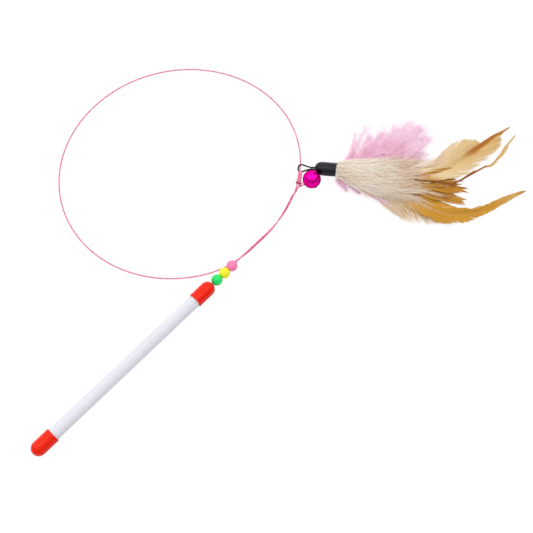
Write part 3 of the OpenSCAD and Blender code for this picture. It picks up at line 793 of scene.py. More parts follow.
def make_world(level):
    """A wide even light overhead, leaning up the picture, that falls to SIDE_SHARE of its level at the sides."""
    world = bpy.data.worlds.new("Studio")
    bpy.context.scene.world = world
    world.use_nodes = True
    tree = world.node_tree
    tree.nodes.clear()
    seen = background_rays(tree)
    toward = node(tree, "ShaderNodeTexCoord")
    facing = node(tree, "ShaderNodeVectorMath", operation="DOT_PRODUCT")
    link(tree, toward.outputs["Generated"], facing.inputs[0])
    facing.inputs[1].default_value = math.sin(SKY_LEAN) * UP_THE_PICTURE + [0, 0, math.cos(SKY_LEAN)]
    sky = node(tree, "ShaderNodeMapRange", interpolation_type="SMOOTHSTEP")
    for name, value in (("From Min", 0.42), ("From Max", 0.68), ("To Min", SIDE_SHARE * level), ("To Max", level)):
        sky.inputs[name].default_value = value
    link(tree, facing.outputs["Value"], sky.inputs["Value"])
    strength = node(tree, "ShaderNodeMapRange")
    strength.inputs["To Max"].default_value = 1.0
    link(tree, sky.outputs["Result"], strength.inputs["To Min"])
    link(tree, seen, strength.inputs["Value"])
    back = node(tree, "ShaderNodeBackground", Color=grey(1.0))
    link(tree, strength.outputs["Result"], back.inputs["Strength"])
    output = tree.nodes.new("ShaderNodeOutputWorld")
    link(tree, back.outputs["Background"], output.inputs["Surface"])


LAMP_AIM = np.array([0.19, 0.0, 0.0])
LAMP_FAR = 0.85
LAMP_LEAN = math.radians(40)
LAMP_SPAN = (2.4, 1.7)
LAMP_BAND = 0.10


def make_lamps(panel, edge):
    """One wide soft panel above the table and four brighter strips along its edges, all facing the wand."""
    away = math.sin(LAMP_LEAN) * UP_THE_PICTURE + np.array([0, 0, math.cos(LAMP_LEAN)])
    right = ALONG_THE_PICTURE
    upward = np.cross(away, right)
    long, tall = LAMP_SPAN
    for name, across, climb, width, height, level, nearer in (
            ("lamp_panel", 0, 0, long, tall, panel, 0.0),
            ("lamp_far", 0, 0.5, long, LAMP_BAND, edge, 0.01), ("lamp_near", 0, -0.5, long, LAMP_BAND, edge, 0.01),
            ("lamp_left", -0.5, 0, LAMP_BAND, tall, edge, 0.01), ("lamp_right", 0.5, 0, LAMP_BAND, tall, edge, 0.01)):
        lamp = bpy.data.lights.new(name, "AREA")
        lamp.shape = "RECTANGLE"
        lamp.size, lamp.size_y = width, height
        lamp.energy = level * math.pi * width * height
        holder = bpy.data.objects.new(name, lamp)
        bpy.context.scene.collection.objects.link(holder)
        place_object(holder, LAMP_AIM + (LAMP_FAR - nearer) * away + across * long * right + climb * tall * upward,
                     right, upward, away)


def place_object(holder, place, right, upward, back):
    """Puts a lamp or the camera at a place, with its own x, y and z along three directions."""
    matrix = np.eye(4)
    matrix[:3, 0], matrix[:3, 1], matrix[:3, 2], matrix[:3, 3] = right, upward, back, place
    holder.matrix_world = Matrix(matrix.tolist())


CAMERA_AIM = np.array([190.325, -16.182, -5.2]) * MM
CAMERA_DISTANCE = 560 * MM
CAMERA_TILT = math.radians(25.2)
CAMERA_ROLL = math.radians(7.5)


def make_camera(lens):
    """A camera that looks down at the table, tilted from the vertical and rolled about its own axis."""
    straight_up = np.array([0, 0, 1.0])
    back = math.cos(CAMERA_TILT) * straight_up - math.sin(CAMERA_TILT) * UP_THE_PICTURE
    level_up = math.cos(CAMERA_TILT) * UP_THE_PICTURE + math.sin(CAMERA_TILT) * straight_up
    level_right = ALONG_THE_PICTURE
    right = math.cos(CAMERA_ROLL) * level_right - math.sin(CAMERA_ROLL) * level_up
    upward = math.sin(CAMERA_ROLL) * level_right + math.cos(CAMERA_ROLL) * level_up
    camera = bpy.data.cameras.new("camera")
    camera.lens = lens
    camera.sensor_width = 36
    holder = bpy.data.objects.new("camera", camera)
    bpy.context.scene.collection.objects.link(holder)
    place_object(holder, CAMERA_AIM + CAMERA_DISTANCE * back, right, upward, back)
    bpy.context.scene.camera = holder


class WAND_OT_handle(bpy.types.Operator):
    """The tube with its two push-on caps"""
    bl_idname = "wand.handle"
    bl_label = "Handle and caps"

    def execute(self, context):
        size = looks("wand_handle")
        dress_node("handle_tube", moulded(
            "White tube", size.tube_colour, shared_grain(), scale=900, stretch=0.04, low=0.32, high=0.5,
            bump=0.03, shade=0.965, Specular_IOR_Level=0.15))
        vinyl = moulded("Red vinyl", size.cap_colour, shared_grain(), scale=120, low=0.08, high=0.13,
                        bump=0.0015, shade=0.95, Specular_IOR_Level=0.5, Specular_Tint=(1.0, 0.6, 0.36, 1.0))
        finish_piece(cap("butt_cap_skin", size, 0, CAP_LOW[0], 1, 0), vinyl, "handle", "red_vinyl", "butt_cap")
        finish_piece(cap("tip_cap_skin", size, TUBE_HIGH[0], TIP_HIGH[0], -1, FOIL_R + 0.25 * MM), vinyl,
                     "handle", "red_vinyl", "tip_cap")
        return {"FINISHED"}


def cap(name, size, tube_end, apex, way, hole):
    """A dipped cap turned about the handle's axis: a half ball, a straight skirt and a soft rim, hollow inside.
    Its skirt swells by a hair towards the rim and wavers slightly, as dipped vinyl does."""
    skirt = way * (CAP_HIGH[0] if way > 0 else TIP_LOW[0] - tube_end)
    top = way * (apex - tube_end)
    ball = top + CAP_R
    wall, edge = size.cap_wall, size.rim_round
    inner = CAP_R - wall
    first = math.degrees(math.asin(hole / CAP_R))
    outside = arc((ball, 0), CAP_R, 180 - first, 90, 20)
    rim = np.concatenate([arc((skirt - edge, CAP_R - edge), edge, 90, 0, 6),
                          arc((skirt - edge, inner + edge), edge, 0, -90, 6)])
    inside = arc((ball, 0), inner, 90, 180 - math.degrees(math.asin(hole / inner)), 16)
    straight = np.stack([np.linspace(ball, skirt - edge, 16)[1:-1], np.full(14, CAP_R)], -1)
    outline = np.concatenate([outside, straight, rim, inside])
    if hole == 0:
        outline[0, 1] = outline[-1, 1] = 0

    def waver(along, turn):
        share = np.clip((along - ball) / (skirt - ball), 0, 1)
        return 0.006 * share ** 3 + 0.003 * np.sin(3 * turn + 2) * share + 0.002 * np.sin(along / MM + turn)

    return revolve(name, outline, (tube_end, 0, 0), (way, 0, 0), ripple=waver)


class WAND_OT_anchor(bpy.types.Operator):
    """The glue plug and the hooked wire end inside the tube"""
    bl_idname = "wand.anchor"
    bl_label = "Wire anchor"

    def execute(self, context):
        size = looks("wand_wire")
        glue = moulded("Hot glue", size.glue_colour, shared_grain(), scale=220, low=0.35, high=0.6, shade=0.9,
                       Subsurface_Weight=0.3, Subsurface_Scale=0.002)
        steel = moulded("Spring steel", size.steel_colour, shared_grain(), scale=900, stretch=0.05, low=0.2,
                        high=0.34, shade=0.85, Metallic=1.0)
        for name in ("glue_plug", "glue_core"):
            dress_node(name, glue)
        for name in ("wire_tail", "bell_pellet"):
            dress_node(name, steel)
        route = wire_route(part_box("wire_stem")[0][0], 0.9 * MM)
        core = sweep("spring_wire", route, lambda gone, turn: WIRE_R, 8)
        on_the_wire(core, steel, "spring_steel", "wire_stem", "wire_loop")
        return {"FINISHED"}


def on_the_wire(piece, material, slot, *nodes):
    """A piece that runs the wire's whole length gets its material and its place baked into its mesh, and the CAD nodes
    it stands for are hidden.
    """
    dress(piece, material)
    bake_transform(piece)
    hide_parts(*nodes)


class WAND_OT_wire(bpy.types.Operator):
    """The wound foil sleeve along the wire, and the flat foil that binds the wire's end"""
    bl_idname = "wand.wire"
    bl_label = "Foil on the wire"

    def execute(self, context):
        size = looks("wand_wire")
        foil = foil_material("Pink foil", size.foil_colour)
        start_x = TIP_HIGH[0] - 0.5 * MM
        route = wire_route(start_x, 0.45 * MM)

        def lapped(gone, turn):
            lap = np.mod(gone / size.foil_pitch - turn / (2 * np.pi), 1)
            crease = 0.02 * MM * np.sin(gone * 2900 + 2 * turn) * np.sin(gone * 1130 + turn)
            return 0.92 * FOIL_R - size.foil_step * 0.4 + size.foil_step * lap + crease

        sleeve = sweep("foil_sleeve", route, lapped, 12)
        on_the_wire(sleeve, foil, "pink_foil", "foil_stem", "foil_loop")
        binding = foil_wrap(size)
        finish_piece(binding, foil, "loop", "pink_foil", "foil_binding")
        return {"FINISHED"}


def foil_wrap(size):
    """A flat sleeve round both strands: a stadium section, r = (|cos/a|^n + |sin/b|^n)^(-1/n), carried along the
    wire, a little wider at its open ends and crumpled, with a wall of film."""
    s = np.linspace(BIND_START - 2.2 * MM, BIND_START + BIND_LEN + 0.3 * MM, 70)
    heading = strand_angle(s)
    side = np.stack([-np.sin(heading), np.cos(heading), 0 * s], -1)
    route = first_strand(s) - STRAND_GAP / 2 * side
    tangent = unit(np.gradient(route, axis=0))
    across = unit(np.cross([0, 0, 1], tangent))
    upward = np.cross(tangent, across)
    turn = np.linspace(0, 2 * np.pi, 48, endpoint=False)[None, :]
    gone = ((s - s[0]) / MM)[:, None]
    flare = 0.9 + 0.36 * np.exp(-gone / 2.4) + 0.10 * np.exp(-(gone[-1] - gone) / 1.1)
    wide, tall = (STRAND_GAP / 2 + 1.1 * MM) * flare, 0.92 * MM * flare
    power = 2.8
    stadium = (np.abs(np.cos(turn) / wide) ** power + np.abs(np.sin(turn) / tall) ** power) ** (-1 / power)
    crumple = 0.05 * MM * (np.sin(2.1 * gone + 3 * turn) + np.sin(3.7 * gone - 5 * turn) * 0.7
                           + np.sin(6.1 * gone + 7 * turn) * 0.4)
    outer = stadium + crumple
    rows = np.concatenate([outer, (outer - 0.16 * MM)[::-1]])
    pick = np.concatenate([np.arange(len(s)), np.arange(len(s))[::-1]])
    spoke = np.cos(turn)[..., None] * across[pick][:, None] + np.sin(turn)[..., None] * upward[pick][:, None]
    points = route[pick][:, None] + rows[..., None] * spoke
    chart = np.stack(np.broadcast_arrays(np.linspace(0, 1, len(pick))[:, None], turn / (2 * np.pi)), -1)
    return build_mesh("foil_wrap", points.reshape(-1, 3), [grid_faces(len(pick), 48, closed_rows=True)],
                      chart.reshape(-1, 2))


def foil_material(name, colour):
    """Metallic film: painted glints, paler on the raised side of fine creases, and painted shade, deeper in their
    hollows, from one noise in Object coordinates that also bumps the creases.
    """
    material, tree = new_material(name)
    shader = surface(tree, Metallic=0.55, Specular_Tint=(1.0, 0.8, 0.9, 1.0))
    grain_and_glint = use_group(tree, shared_grain(), Scale=900.0, Stretch=1.0, Low=0.2, High=0.45)
    # Paler tone: a painted glint on the creases' ridges; deeper tone: painted shade in their hollows.
    pale = tuple(0.5 + 0.5 * c for c in colour[:3]) + (1.0,)
    deep = tuple(0.62 * c for c in colour[:3]) + (1.0,)
    tone = ramp(tree, grain_and_glint.outputs["Mask"], [(0.3, deep), (0.48, tuple(colour)), (0.72, pale)])
    link(tree, tone, shader.inputs["Base Color"])
    link(tree, grain_and_glint.outputs["Roughness"], shader.inputs["Roughness"])
    creases = node(tree, "ShaderNodeBump", Strength=0.5, Distance=0.06 * MM)
    link(tree, grain_and_glint.outputs["Height"], creases.inputs["Height"])
    link(tree, creases.outputs["Normal"], shader.inputs["Normal"])
    return material


class WAND_OT_beads(bpy.types.Operator):
    """The three round beads"""
    bl_idname = "wand.beads"
    bl_label = "Beads"

    def execute(self, context):
        size = looks("wand_beads")
        for name, colour in (("green_bead", size.green), ("yellow_bead", size.yellow), ("pink_bead", size.pink)):
            plastic = moulded(name.replace("_", " ").capitalize(), colour, shared_grain(), scale=120, low=0.16,
                              high=0.26, bump=0.003, shade=0.97, Specular_IOR_Level=0.5)
            finish_piece(bead(name + "_ball", name, size.hole_round), plastic, name, name, name)
        return {"FINISHED"}


def bead(name, cad, edge):
    """A ball turned about the wire, with flat ends, softened hole edges and a faint mould line round its middle."""
    low, high = corners(cad)
    centre, radius = (low[0] + high[0]) / 2, (high[2] - low[2]) / 2
    half, hole = (high[0] - low[0]) / 2, FOIL_R + 0.25 * MM
    first = math.degrees(math.acos(half / radius))
    ends = arc((half - edge, hole + edge), edge, 60, -90, 7)
    outline = np.concatenate([arc((0, 0), radius, 180 - first, first, 41), ends, (ends * [-1, 1])[::-1]])

    def seam(along, turn):
        return 0.006 * np.exp(-(along / (0.12 * MM)) ** 2) + 0 * turn

    return revolve(name, outline, (centre, 0, 0), (1, 0, 0), columns=72, ripple=seam)


class WAND_OT_bell(bpy.types.Operator):
    """The lacquered bell with its shank"""
    bl_idname = "wand.bell"
    bl_label = "Bell"

    def execute(self, context):
        size = looks("wand_bell")
        lacquer = moulded("Magenta lacquer", size.lacquer, shared_grain(), scale=120, low=0.05, high=0.1,
                          bump=0.006, shade=0.95, Metallic=1.0, Specular_Tint=size.rim_tint)
        for part in ("upper", "lower"):
            shell = rounded_copy("bell_%s_skin" % part, "bell_%s_shell" % part, size.edge_round)
            finish_piece(shell, lacquer, "bell", "magenta_bell", "bell_%s_shell" % part)
        dress_node("bell_shank", lacquer)
        return {"FINISHED"}


def rounded_copy(name, cad, width):
    """A CAD node's own mesh with its doubles merged and its sharp edges rounded."""
    mesh = frame["nodes"][cad].data
    spots = np.empty(len(mesh.vertices) * 3, np.float32)
    mesh.vertices.foreach_get("co", spots)
    ring = np.empty(len(mesh.loops), np.int32)
    mesh.loops.foreach_get("vertex_index", ring)
    grid = np.round(spots.reshape(-1, 3) / (0.002 * MM)).astype(np.int64)
    _, first, same = np.unique(grid, axis=0, return_index=True, return_inverse=True)
    faces = same.reshape(-1)[ring].reshape(-1, 3)
    whole = (faces[:, 0] != faces[:, 1]) & (faces[:, 1] != faces[:, 2]) & (faces[:, 0] != faces[:, 2])
    piece = build_mesh(name, spots.reshape(-1, 3)[first], [faces[whole]])
    bevel = piece.modifiers.new("Edges", "BEVEL")
    bevel.width = width
    bevel.segments = 2
    bevel.limit_method = "ANGLE"
    bevel.angle_limit = math.radians(40)
    bevel.harden_normals = True
    return piece


class WAND_OT_elastic(bpy.types.Operator):
    """The woven elastic eye round the wire"""
    bl_idname = "wand.elastic"
    bl_label = "Elastic eye"

    def execute(self, context):
        size = looks("wand_lure")
        woven = moulded("Black elastic", size.elastic, shared_grain(), scale=2200, low=0.5, high=0.75, bump=0.05,
                        shade=0.6, Sheen_Weight=0.4, Sheen_Roughness=0.4)
        finish_piece(elastic_eye(), woven, "eye", "black_elastic", "elastic_cord")
        return {"FINISHED"}


SLEEVE_R = 5 * MM
SLEEVE_WALL = 0.8 * MM
ELASTIC_R = 0.6 * MM
EYE_HALF = 2.2 * MM
EYE_BACK = 1.4 * MM
EYE_END = SLEEVE_REACH + 0.9 * SLEEVE_R - 0.3 * MM
EYE_CLOSE = 0.75
EYE_CLOSE_TURN = math.radians(160)
SLEEVE_Z = FLOOR_Z + SLEEVE_R


def elastic_eye():
    """Along q from -1 to 1: x grows with q squared, y follows a sine that closes at the sleeve, and z rises over
    the wire on one side and dips under it on the other. The skin has woven diamonds, |sin| of two slants."""
    q = np.linspace(-1, 1, 300)
    ahead = -EYE_BACK + (EYE_END + EYE_BACK) * q * q
    aside = EYE_HALF * np.sin(EYE_CLOSE_TURN * np.clip(q / EYE_CLOSE, -1, 1))
    hump = np.where(np.abs(q) < 0.6, 1.1 * EYE_BACK * np.sin(math.radians(300) * q), 0)
    height = EYE_AT[2] + hump + (SLEEVE_Z - EYE_AT[2]) * q * q
    route = to_lure(np.stack([ahead - SLEEVE_REACH - SLEEVE_LEN, aside, height], -1))

    def woven(gone, turn):
        over = np.abs(np.sin(4 * turn + gone / (0.36 * MM)) * np.sin(4 * turn - gone / (0.36 * MM)))
        return ELASTIC_R * (0.9 + 0.12 * over ** 0.7)

    return sweep("elastic_eye", route, woven, 32)


class WAND_OT_sleeve(bpy.types.Operator):
    """The black sleeve at the feathers' root"""
    bl_idname = "wand.sleeve"
    bl_label = "Lure sleeve"

    def execute(self, context):
        size = looks("wand_lure")
        vinyl = moulded("Black vinyl", size.black, shared_grain(), scale=160, low=0.05, high=0.09,
                        bump=0.008, shade=0.75, Specular_IOR_Level=0.45, Specular_Tint=(0.8, 0.87, 1.0, 1.0))
        finish_piece(lure_sleeve(), vinyl, "lure", "black_vinyl", "feather_sleeve")
        return {"FINISHED"}


def lure_sleeve():
    """A tube with one rounded end and a cord hole, turned about the lure's axis and slightly dented."""
    hole, edge = 1.65 * MM, 0.3 * MM
    inner = SLEEVE_R - SLEEVE_WALL
    outer_first = math.degrees(math.asin(hole / SLEEVE_R))
    inner_first = math.degrees(math.asin(hole / inner))
    skirt = np.stack([np.linspace(SLEEVE_R, SLEEVE_LEN - edge, 24)[1:-1], np.full(22, SLEEVE_R)], -1)
    outline = np.concatenate([
        arc((SLEEVE_R, 0), SLEEVE_R, 180 - outer_first, 90, 20), skirt,
        arc((SLEEVE_LEN - edge, SLEEVE_R - edge), edge, 90, 0, 5),
        arc((SLEEVE_LEN - edge, inner + edge), edge, 0, -90, 5),
        arc((SLEEVE_R, 0), inner, 90, 180 - inner_first, 14)])

    def dents(along, turn):
        share = np.clip(along / SLEEVE_LEN, 0, 1)
        return (0.010 * np.sin(2 * turn + 5 * share) * np.sin(np.pi * share)
                + 0.006 * np.sin(5 * turn - 9 * share) * share - 0.02 * share ** 2 * (1 - share))

    start = LURE_AT + SLEEVE_REACH * LURE_AXIS
    start[2] = SLEEVE_Z
    return revolve("lure_sleeve", outline, start, LURE_AXIS, columns=96, ripple=dents)


# Outline of the root fluff in millimetres ahead of the sleeve's mouth
FLUFF_AHEAD = [-2, -0.1, 0.8, 8, 16, 26, 36, 48, 62]
FLUFF_CENTRE = [0, 0, 0, -0.6, -1.7, -2.9, -3.2, -2.4, -0.5]
FLUFF_HALF = [3.9, 4.0, 4.9, 6.6, 8.7, 11.3, 13.2, 12.8, 9.5]
FLUFF_TALL = [3.9, 4.0, 4.8, 5.2, 5.6, 5.6, 4.8, 3.6, 2.4]
CORE_SHARE = [0.95, 0.95, 0.95, 0.94, 0.92, 0.88, 0.74, 0.45, 0.05]


def hold_above_floor(height, least=0.12):
    """Heights in millimetres kept above the floor by a soft bend: least + log(1 + e^x)."""
    floor = FLOOR_Z / MM + least
    return floor + np.logaddexp(0, 2.2 * (height - floor)) / 2.2


def fluff_outline(ahead):
    """Centre, half width, half height and the core's share of them, at places ahead of the sleeve's mouth."""
    return [np.interp(ahead, FLUFF_AHEAD, table) for table in (FLUFF_CENTRE, FLUFF_HALF, FLUFF_TALL, CORE_SHARE)]


def fluff_core():
    """The dense down under the strands: ovals of the fluff's outline, drawn in at its end, with combed ridges
    made of sines of the angle that drift along the lure."""
    ahead = np.linspace(-1.5, 56, 90)[:, None]
    turn = np.linspace(0, 2 * np.pi, 96, endpoint=False)[None, :]
    centre, half, tall, share = fluff_outline(ahead)
    ridge = 1 + 0.05 * np.sin(11 * turn + 0.09 * ahead) * np.sin(5 * turn - 0.16 * ahead + 1) + 0.03 * np.sin(
        23 * turn + 0.2 * ahead)
    x = ahead + 0 * turn
    y = centre + share * half * ridge * np.cos(turn)
    z = hold_above_floor(SLEEVE_Z / MM + share * tall * ridge * np.sin(turn))
    ring = np.stack([x, y, z], -1)
    ends = np.stack([ring[0].mean(0), ring[-1].mean(0)])
    count = ring.shape[0] * 96
    column = np.arange(96)
    beside = (column + 1) % 96
    last = count - 96
    fans = np.concatenate([np.stack([np.full(96, count), beside, column], -1),
                           np.stack([np.full(96, count + 1), last + column, last + beside], -1)])
    points = to_lure(np.concatenate([ring.reshape(-1, 3), ends]) * MM)
    chart = np.stack([np.clip(np.concatenate([x.ravel(), ends[:, 0]]) / 60, 0, 1), np.full(count + 2, 0.06)], -1)
    return build_mesh("cream_core", points, [grid_faces(90, 96), fans], chart)


def lock_strands(rng, locks, each, first, last, long, depth, spread, wave, fan, steps=7):
    """Silky locks that flow over the fluff's flared body: each lock starts somewhere on an oval ring and runs
    ahead with the outline, leaning aside by its fan angle, and each of its strands has its own wave."""
    count = locks * each
    lock = np.repeat(np.arange(locks), each)
    at = rng.uniform(first, last, locks)[lock]
    turn = rng.uniform(0, 2 * np.pi, locks)[lock]
    deep = rng.uniform(*depth, locks)[lock]
    length = rng.uniform(*long, locks)[lock] * rng.normal(1, 0.14, count)
    swirl = rng.normal(0, 0.30, locks)[lock] + rng.normal(0, 0.22, count)
    flare = rng.uniform(-0.5, 1.6, locks)[lock] + rng.normal(0, 0.5, count)
    offset = rng.normal(0, spread, (count, 3)) * [3.0, 1, 0.6]
    offset[:, 0] = np.maximum(offset[:, 0], -0.5 - at)
    t = np.linspace(0, 1, steps)[None, :]
    ahead = at[:, None] + length[:, None] * t
    centre, half, tall, _ = fluff_outline(np.clip(ahead, -2, 62))
    angle = turn[:, None] + swirl[:, None] * t
    out = deep[:, None] + (flare / 10)[:, None] * t ** 2
    phase = rng.uniform(0, 2 * np.pi, (count, 2, 1))
    pace = rng.uniform(3, 7, (count, 1))
    sway = wave * t * np.sin(pace * t + phase[:, 0])
    bob = 0.5 * wave * t * np.sin(pace * t * 1.3 + phase[:, 1])
    loose = 1 - 0.35 * t
    aside = np.radians(rng.normal(0, fan, locks))[lock] + np.radians(0.5 * fan) * np.cos(turn)
    y = centre + out * half * np.cos(angle) + offset[:, 1:2] * loose + sway + np.tan(aside)[:, None] * length[:, None] * t
    z = SLEEVE_Z / MM + out * tall * np.sin(angle) + offset[:, 2:3] * loose + bob
    paths = np.stack([ahead + offset[:, :1], y, hold_above_floor(z)], -1)
    outward = np.stack([0 * turn + 0.05, np.cos(turn) * 0.5, np.sin(turn) + 0.6], -1)
    return paths, lock, at, turn, unit(outward)


def strand_piece(name, paths, half_wide, upward, along, tone, flat=0.14):
    """Fine flat strands that taper to a point, in millimetres, lying square to their upward directions."""
    steps = paths.shape[1]
    taper = 1 - 0.85 * np.linspace(0, 1, steps)[None, :] ** 1.6
    wide = np.broadcast_to(half_wide, (len(paths),))[:, None] * taper * MM
    return barbs(name, paths * MM, wide, flat * wide, upward, along, tone, 4)


class WAND_OT_fluff(bpy.types.Operator):
    """The cream fluff at the feathers' root"""
    bl_idname = "wand.fluff"
    bl_label = "Cream fluff"

    def execute(self, context):
        size = looks("wand_lure")
        cream, tan, ginger = tuple(size.cream), tuple(size.tan), tuple(size.ginger)
        deep = tuple(a / b for a, b in zip(tan, cream))
        down = feather_material(
            "Cream down", [(0.0, cream), (0.4, cream), (0.7, between(cream, tan, 0.2)), (1.0, between(cream, tan, 0.65))],
            [(0.0, grey(0.95)), (0.4, grey(1.0)), (1.0, grey(1.0))],
            [(0.0, grey(1.0)), (0.3, (1.0, 0.98, 0.95, 1)), (0.6, (0.98, 0.93, 0.87, 1)), (0.8, between(deep, grey(1.0), 0.5)),
             (1.0, tuple(a * b for a, b in zip(deep, (1.0, 0.97, 0.9, 1))))], sheen=0.45)
        core = fluff_core()
        finish_piece(core, down, "lure", "cream_down", "cream_fluff")
        for k, (locks, each, first, last, long, depth, fan) in enumerate((
                (225, 16, -0.8, 22, (9, 20), (0.92, 1.02), 2), (225, 16, 10, 36, (9, 20), (0.88, 1.04), 6),
                (225, 16, 24, 50, (8, 19), (0.66, 1.06), 11),
                (64, 12, 28, 50, (14, 29), (0.75, 1.12), 15))):
            rng = np.random.default_rng(SEED + 40 + k)
            paths, lock, at, turn, outward = lock_strands(
                rng, locks, each, first, last, long, depth, 1.15, 0.8, fan)
            darker = rng.random(locks)[lock] + 0.3 * np.clip((at - 14) / 26, 0, 1) + 0.12 * (np.abs(np.cos(turn)) > 0.5)
            darker = darker + 0.55 * (np.abs(np.cos(turn) + 0.62) < 0.2) * (at < 20)
            tone = np.where(darker > 0.92, rng.uniform(0.55, 0.99, len(paths)), rng.uniform(0, 0.5, len(paths)))
            finish_piece(strand_piece("cream_fluff_%d" % (k + 1), paths, rng.uniform(0.08, 0.24, len(paths)),
                                      outward, np.clip(at / 45, 0, 1), tone), down, "lure", "cream_down")
        return {"FINISHED"}


# Marabou plumes in millimetres: root, bend, tip, barb length, and the plume's height above the floor
PLUMES = [
    [(7, 4), (10, 19), (11, 35), 3.2, 3.4], [(9, 5), (14, 23), (19, 41), 3.6, 3.0],
    [(12, 6), (18, 20), (22, 33), 7.0, 3.6], [(15, 7), (24, 24), (31, 37), 8.0, 3.2],
    [(19, 8), (31, 26), (41, 42), 9.0, 3.8], [(23, 8), (38, 28), (50, 45), 10.0, 3.2],
    [(27, 9), (44, 29), (57, 44), 11.0, 3.6], [(31, 10), (49, 26), (61, 39), 11.0, 3.0],
    [(34, 8), (53, 19), (64, 31), 10.0, 3.4], [(34, 6), (51, 13), (63, 21), 9.0, 2.8],
    [(26, 8), (38, 16), (48, 26), 13.0, 3.4], [(18, 7), (27, 15), (36, 26), 11.0, 3.8],
    [(11, 5), (17, 13), (23, 22), 8.0, 3.2], [(6, 4), (8, 10), (10, 17), 5.0, 3.2]]
LOW_PLUMES = [
    [(2, -4), (5, -9), (8, -14), 5.0, 2.6], [(6, -5), (11, -11), (17, -16), 6.0, 2.6],
    [(11, -7), (19, -13), (27, -18), 6.5, 2.4], [(18, -9), (28, -17), (37, -22.5), 6.5, 2.4],
    [(25, -11), (35, -19), (44, -25), 5.5, 2.2]]
STRAY_PLUMES = [
    [(9, 14), (12, 27), (13, 37), 6.0, 3.2], [(16, 20), (20, 31), (21, 40), 8.0, 3.2],
    [(22, 22), (28, 33), (33, 43), 9.0, 3.0], [(30, 26), (40, 38), (46, 47), 9.0, 3.0],
    [(44, 30), (56, 40), (64, 46), 9.0, 3.0], [(52, 20), (62, 28), (68, 38), 8.0, 2.8]]


def plume_strands(rng, plumes, each, steps=7):
    """Fluffy barbs on curved stems: each barb leaves its stem to one side at its own lean, curls towards the
    plume's tip and wavers in a random walk smoothed along its length."""
    made = []
    each //= 3
    for root, middle, tip, long, height in [plume for plume in plumes for _ in range(3)]:
        base = np.array([[*root, height], [*middle, height + 1.0], [*tip, height - 0.8]], float)
        base += rng.normal(0, 1, (3, 3)) * [[0.6, 0.6, 0.3], [1.2, 1.2, 0.5], [0.16 * long, 0.2 * long, 0.5]]
        base[:, 2] += FLOOR_Z / MM
        share = rng.uniform(0.02, 1, each) ** 0.85
        stem = bend(base, share)
        ahead = unit(bend(base, np.minimum(share + 0.03, 1)) - bend(base, np.maximum(share - 0.03, 0)))
        beside = unit(np.cross([0, 0, 1], ahead))
        above = np.cross(ahead, beside)
        side = rng.choice([-1, 1], each)[:, None]
        rise = rng.normal(0, 0.16, each)[:, None]
        outward = unit(side * beside + rise * above)
        stray = rng.random(each) < 0.16
        lean = np.radians(rng.normal(44, 16, each)) * (1 - 0.5 * share ** 3)
        length = long * (1 - 0.4 * share ** 2) * (0.3 + rng.beta(2, 2.6, each)) * (0.45 + 0.55 * np.minimum(1, share * 4))
        length = length * np.where(stray, 1.45, 1)
        t = np.linspace(0, 1, steps)
        curl = np.radians(rng.normal(14, 26, each)) * np.where(stray, 2.4, 1)
        angle = lean[:, None] - curl[:, None] * t[None, :]
        step = (length[:, None] / (steps - 1))[..., None] * (
            np.cos(angle)[..., None] * ahead[:, None] + np.sin(angle)[..., None] * outward[:, None])
        walk = np.cumsum(rng.normal(0, 0.22, (each, steps, 3)) * [1, 1, 0.3], axis=1) * (length / 8)[:, None, None]
        walk = (walk - walk[:, :1]) * t[None, :, None]
        paths = stem[:, None] + np.cumsum(step, axis=1) - step[:, :1] + walk
        paths[..., 2] = hold_above_floor(paths[..., 2])
        made.append((paths, share, unit(above + rng.normal(0, 0.10, (each, 3))), np.where(stray, 0.6, 1.0)))
    return [np.concatenate(column) for column in zip(*made)]


class WAND_OT_marabou(bpy.types.Operator):
    """The pink marabou behind and below the fluff"""
    bl_idname = "wand.marabou"
    bl_label = "Pink marabou"

    def execute(self, context):
        size = looks("wand_lure")
        pink = tuple(size.pink)
        # Deeper pink towards the plumes' roots: partly the dye, partly painted shade where the roots lie under the
        # fluff.
        down = feather_material(
            "Pink down", [(0.0, tuple(c * f for c, f in zip(pink, (1, 0.62, 0.74, 1)))),
                          (0.45, tuple(c * f for c, f in zip(pink, (1, 0.86, 0.92, 1)))), (0.8, pink), (1.0, pink)],
            [(0.0, grey(1.0)), (1.0, grey(1.0))],
            [(0.0, grey(1.0)), (0.75, (1.0, 0.94, 0.97, 1)), (1.0, (1.0, 0.86, 0.93, 1))], sheen=0.5)
        groups = [("pink_marabou_1", PLUMES[:5], 560), ("pink_marabou_2", PLUMES[5:9], 720),
                  ("pink_marabou_3", PLUMES[9:], 560), ("pink_marabou_low", LOW_PLUMES, 440),
                  ("pink_marabou_stray", STRAY_PLUMES, 60)]
        for k, (name, plumes, each) in enumerate(groups):
            rng = np.random.default_rng(SEED + 60 + k)
            paths, share, upward, fine = plume_strands(rng, plumes, each)
            half_wide = fine * rng.uniform(0.05, 0.15, len(paths))
            piece = strand_piece(name, paths, half_wide, upward, share, rng.random(len(paths)))
            finish_piece(piece, down, "lure", "pink_marabou", *(["pink_marabou"] if k == 0 else []))
        return {"FINISHED"}


def feather_skin(name, along, own, tones, shaft, stripe=None):
    """A long feather's two finishes: its barbs' and its shaft's."""
    vane = feather_material(name, along, own, tones, sheen=0.08, roughness=0.45, stripe=stripe)
    quill, tree = new_material(name + " shaft")
    shader = surface(tree, Roughness=0.35, Specular_IOR_Level=0.35)
    chart = use_group(tree, shared_chart())
    link(tree, ramp(tree, chart.outputs["Barb"], shaft), shader.inputs["Base Color"])
    return vane, quill


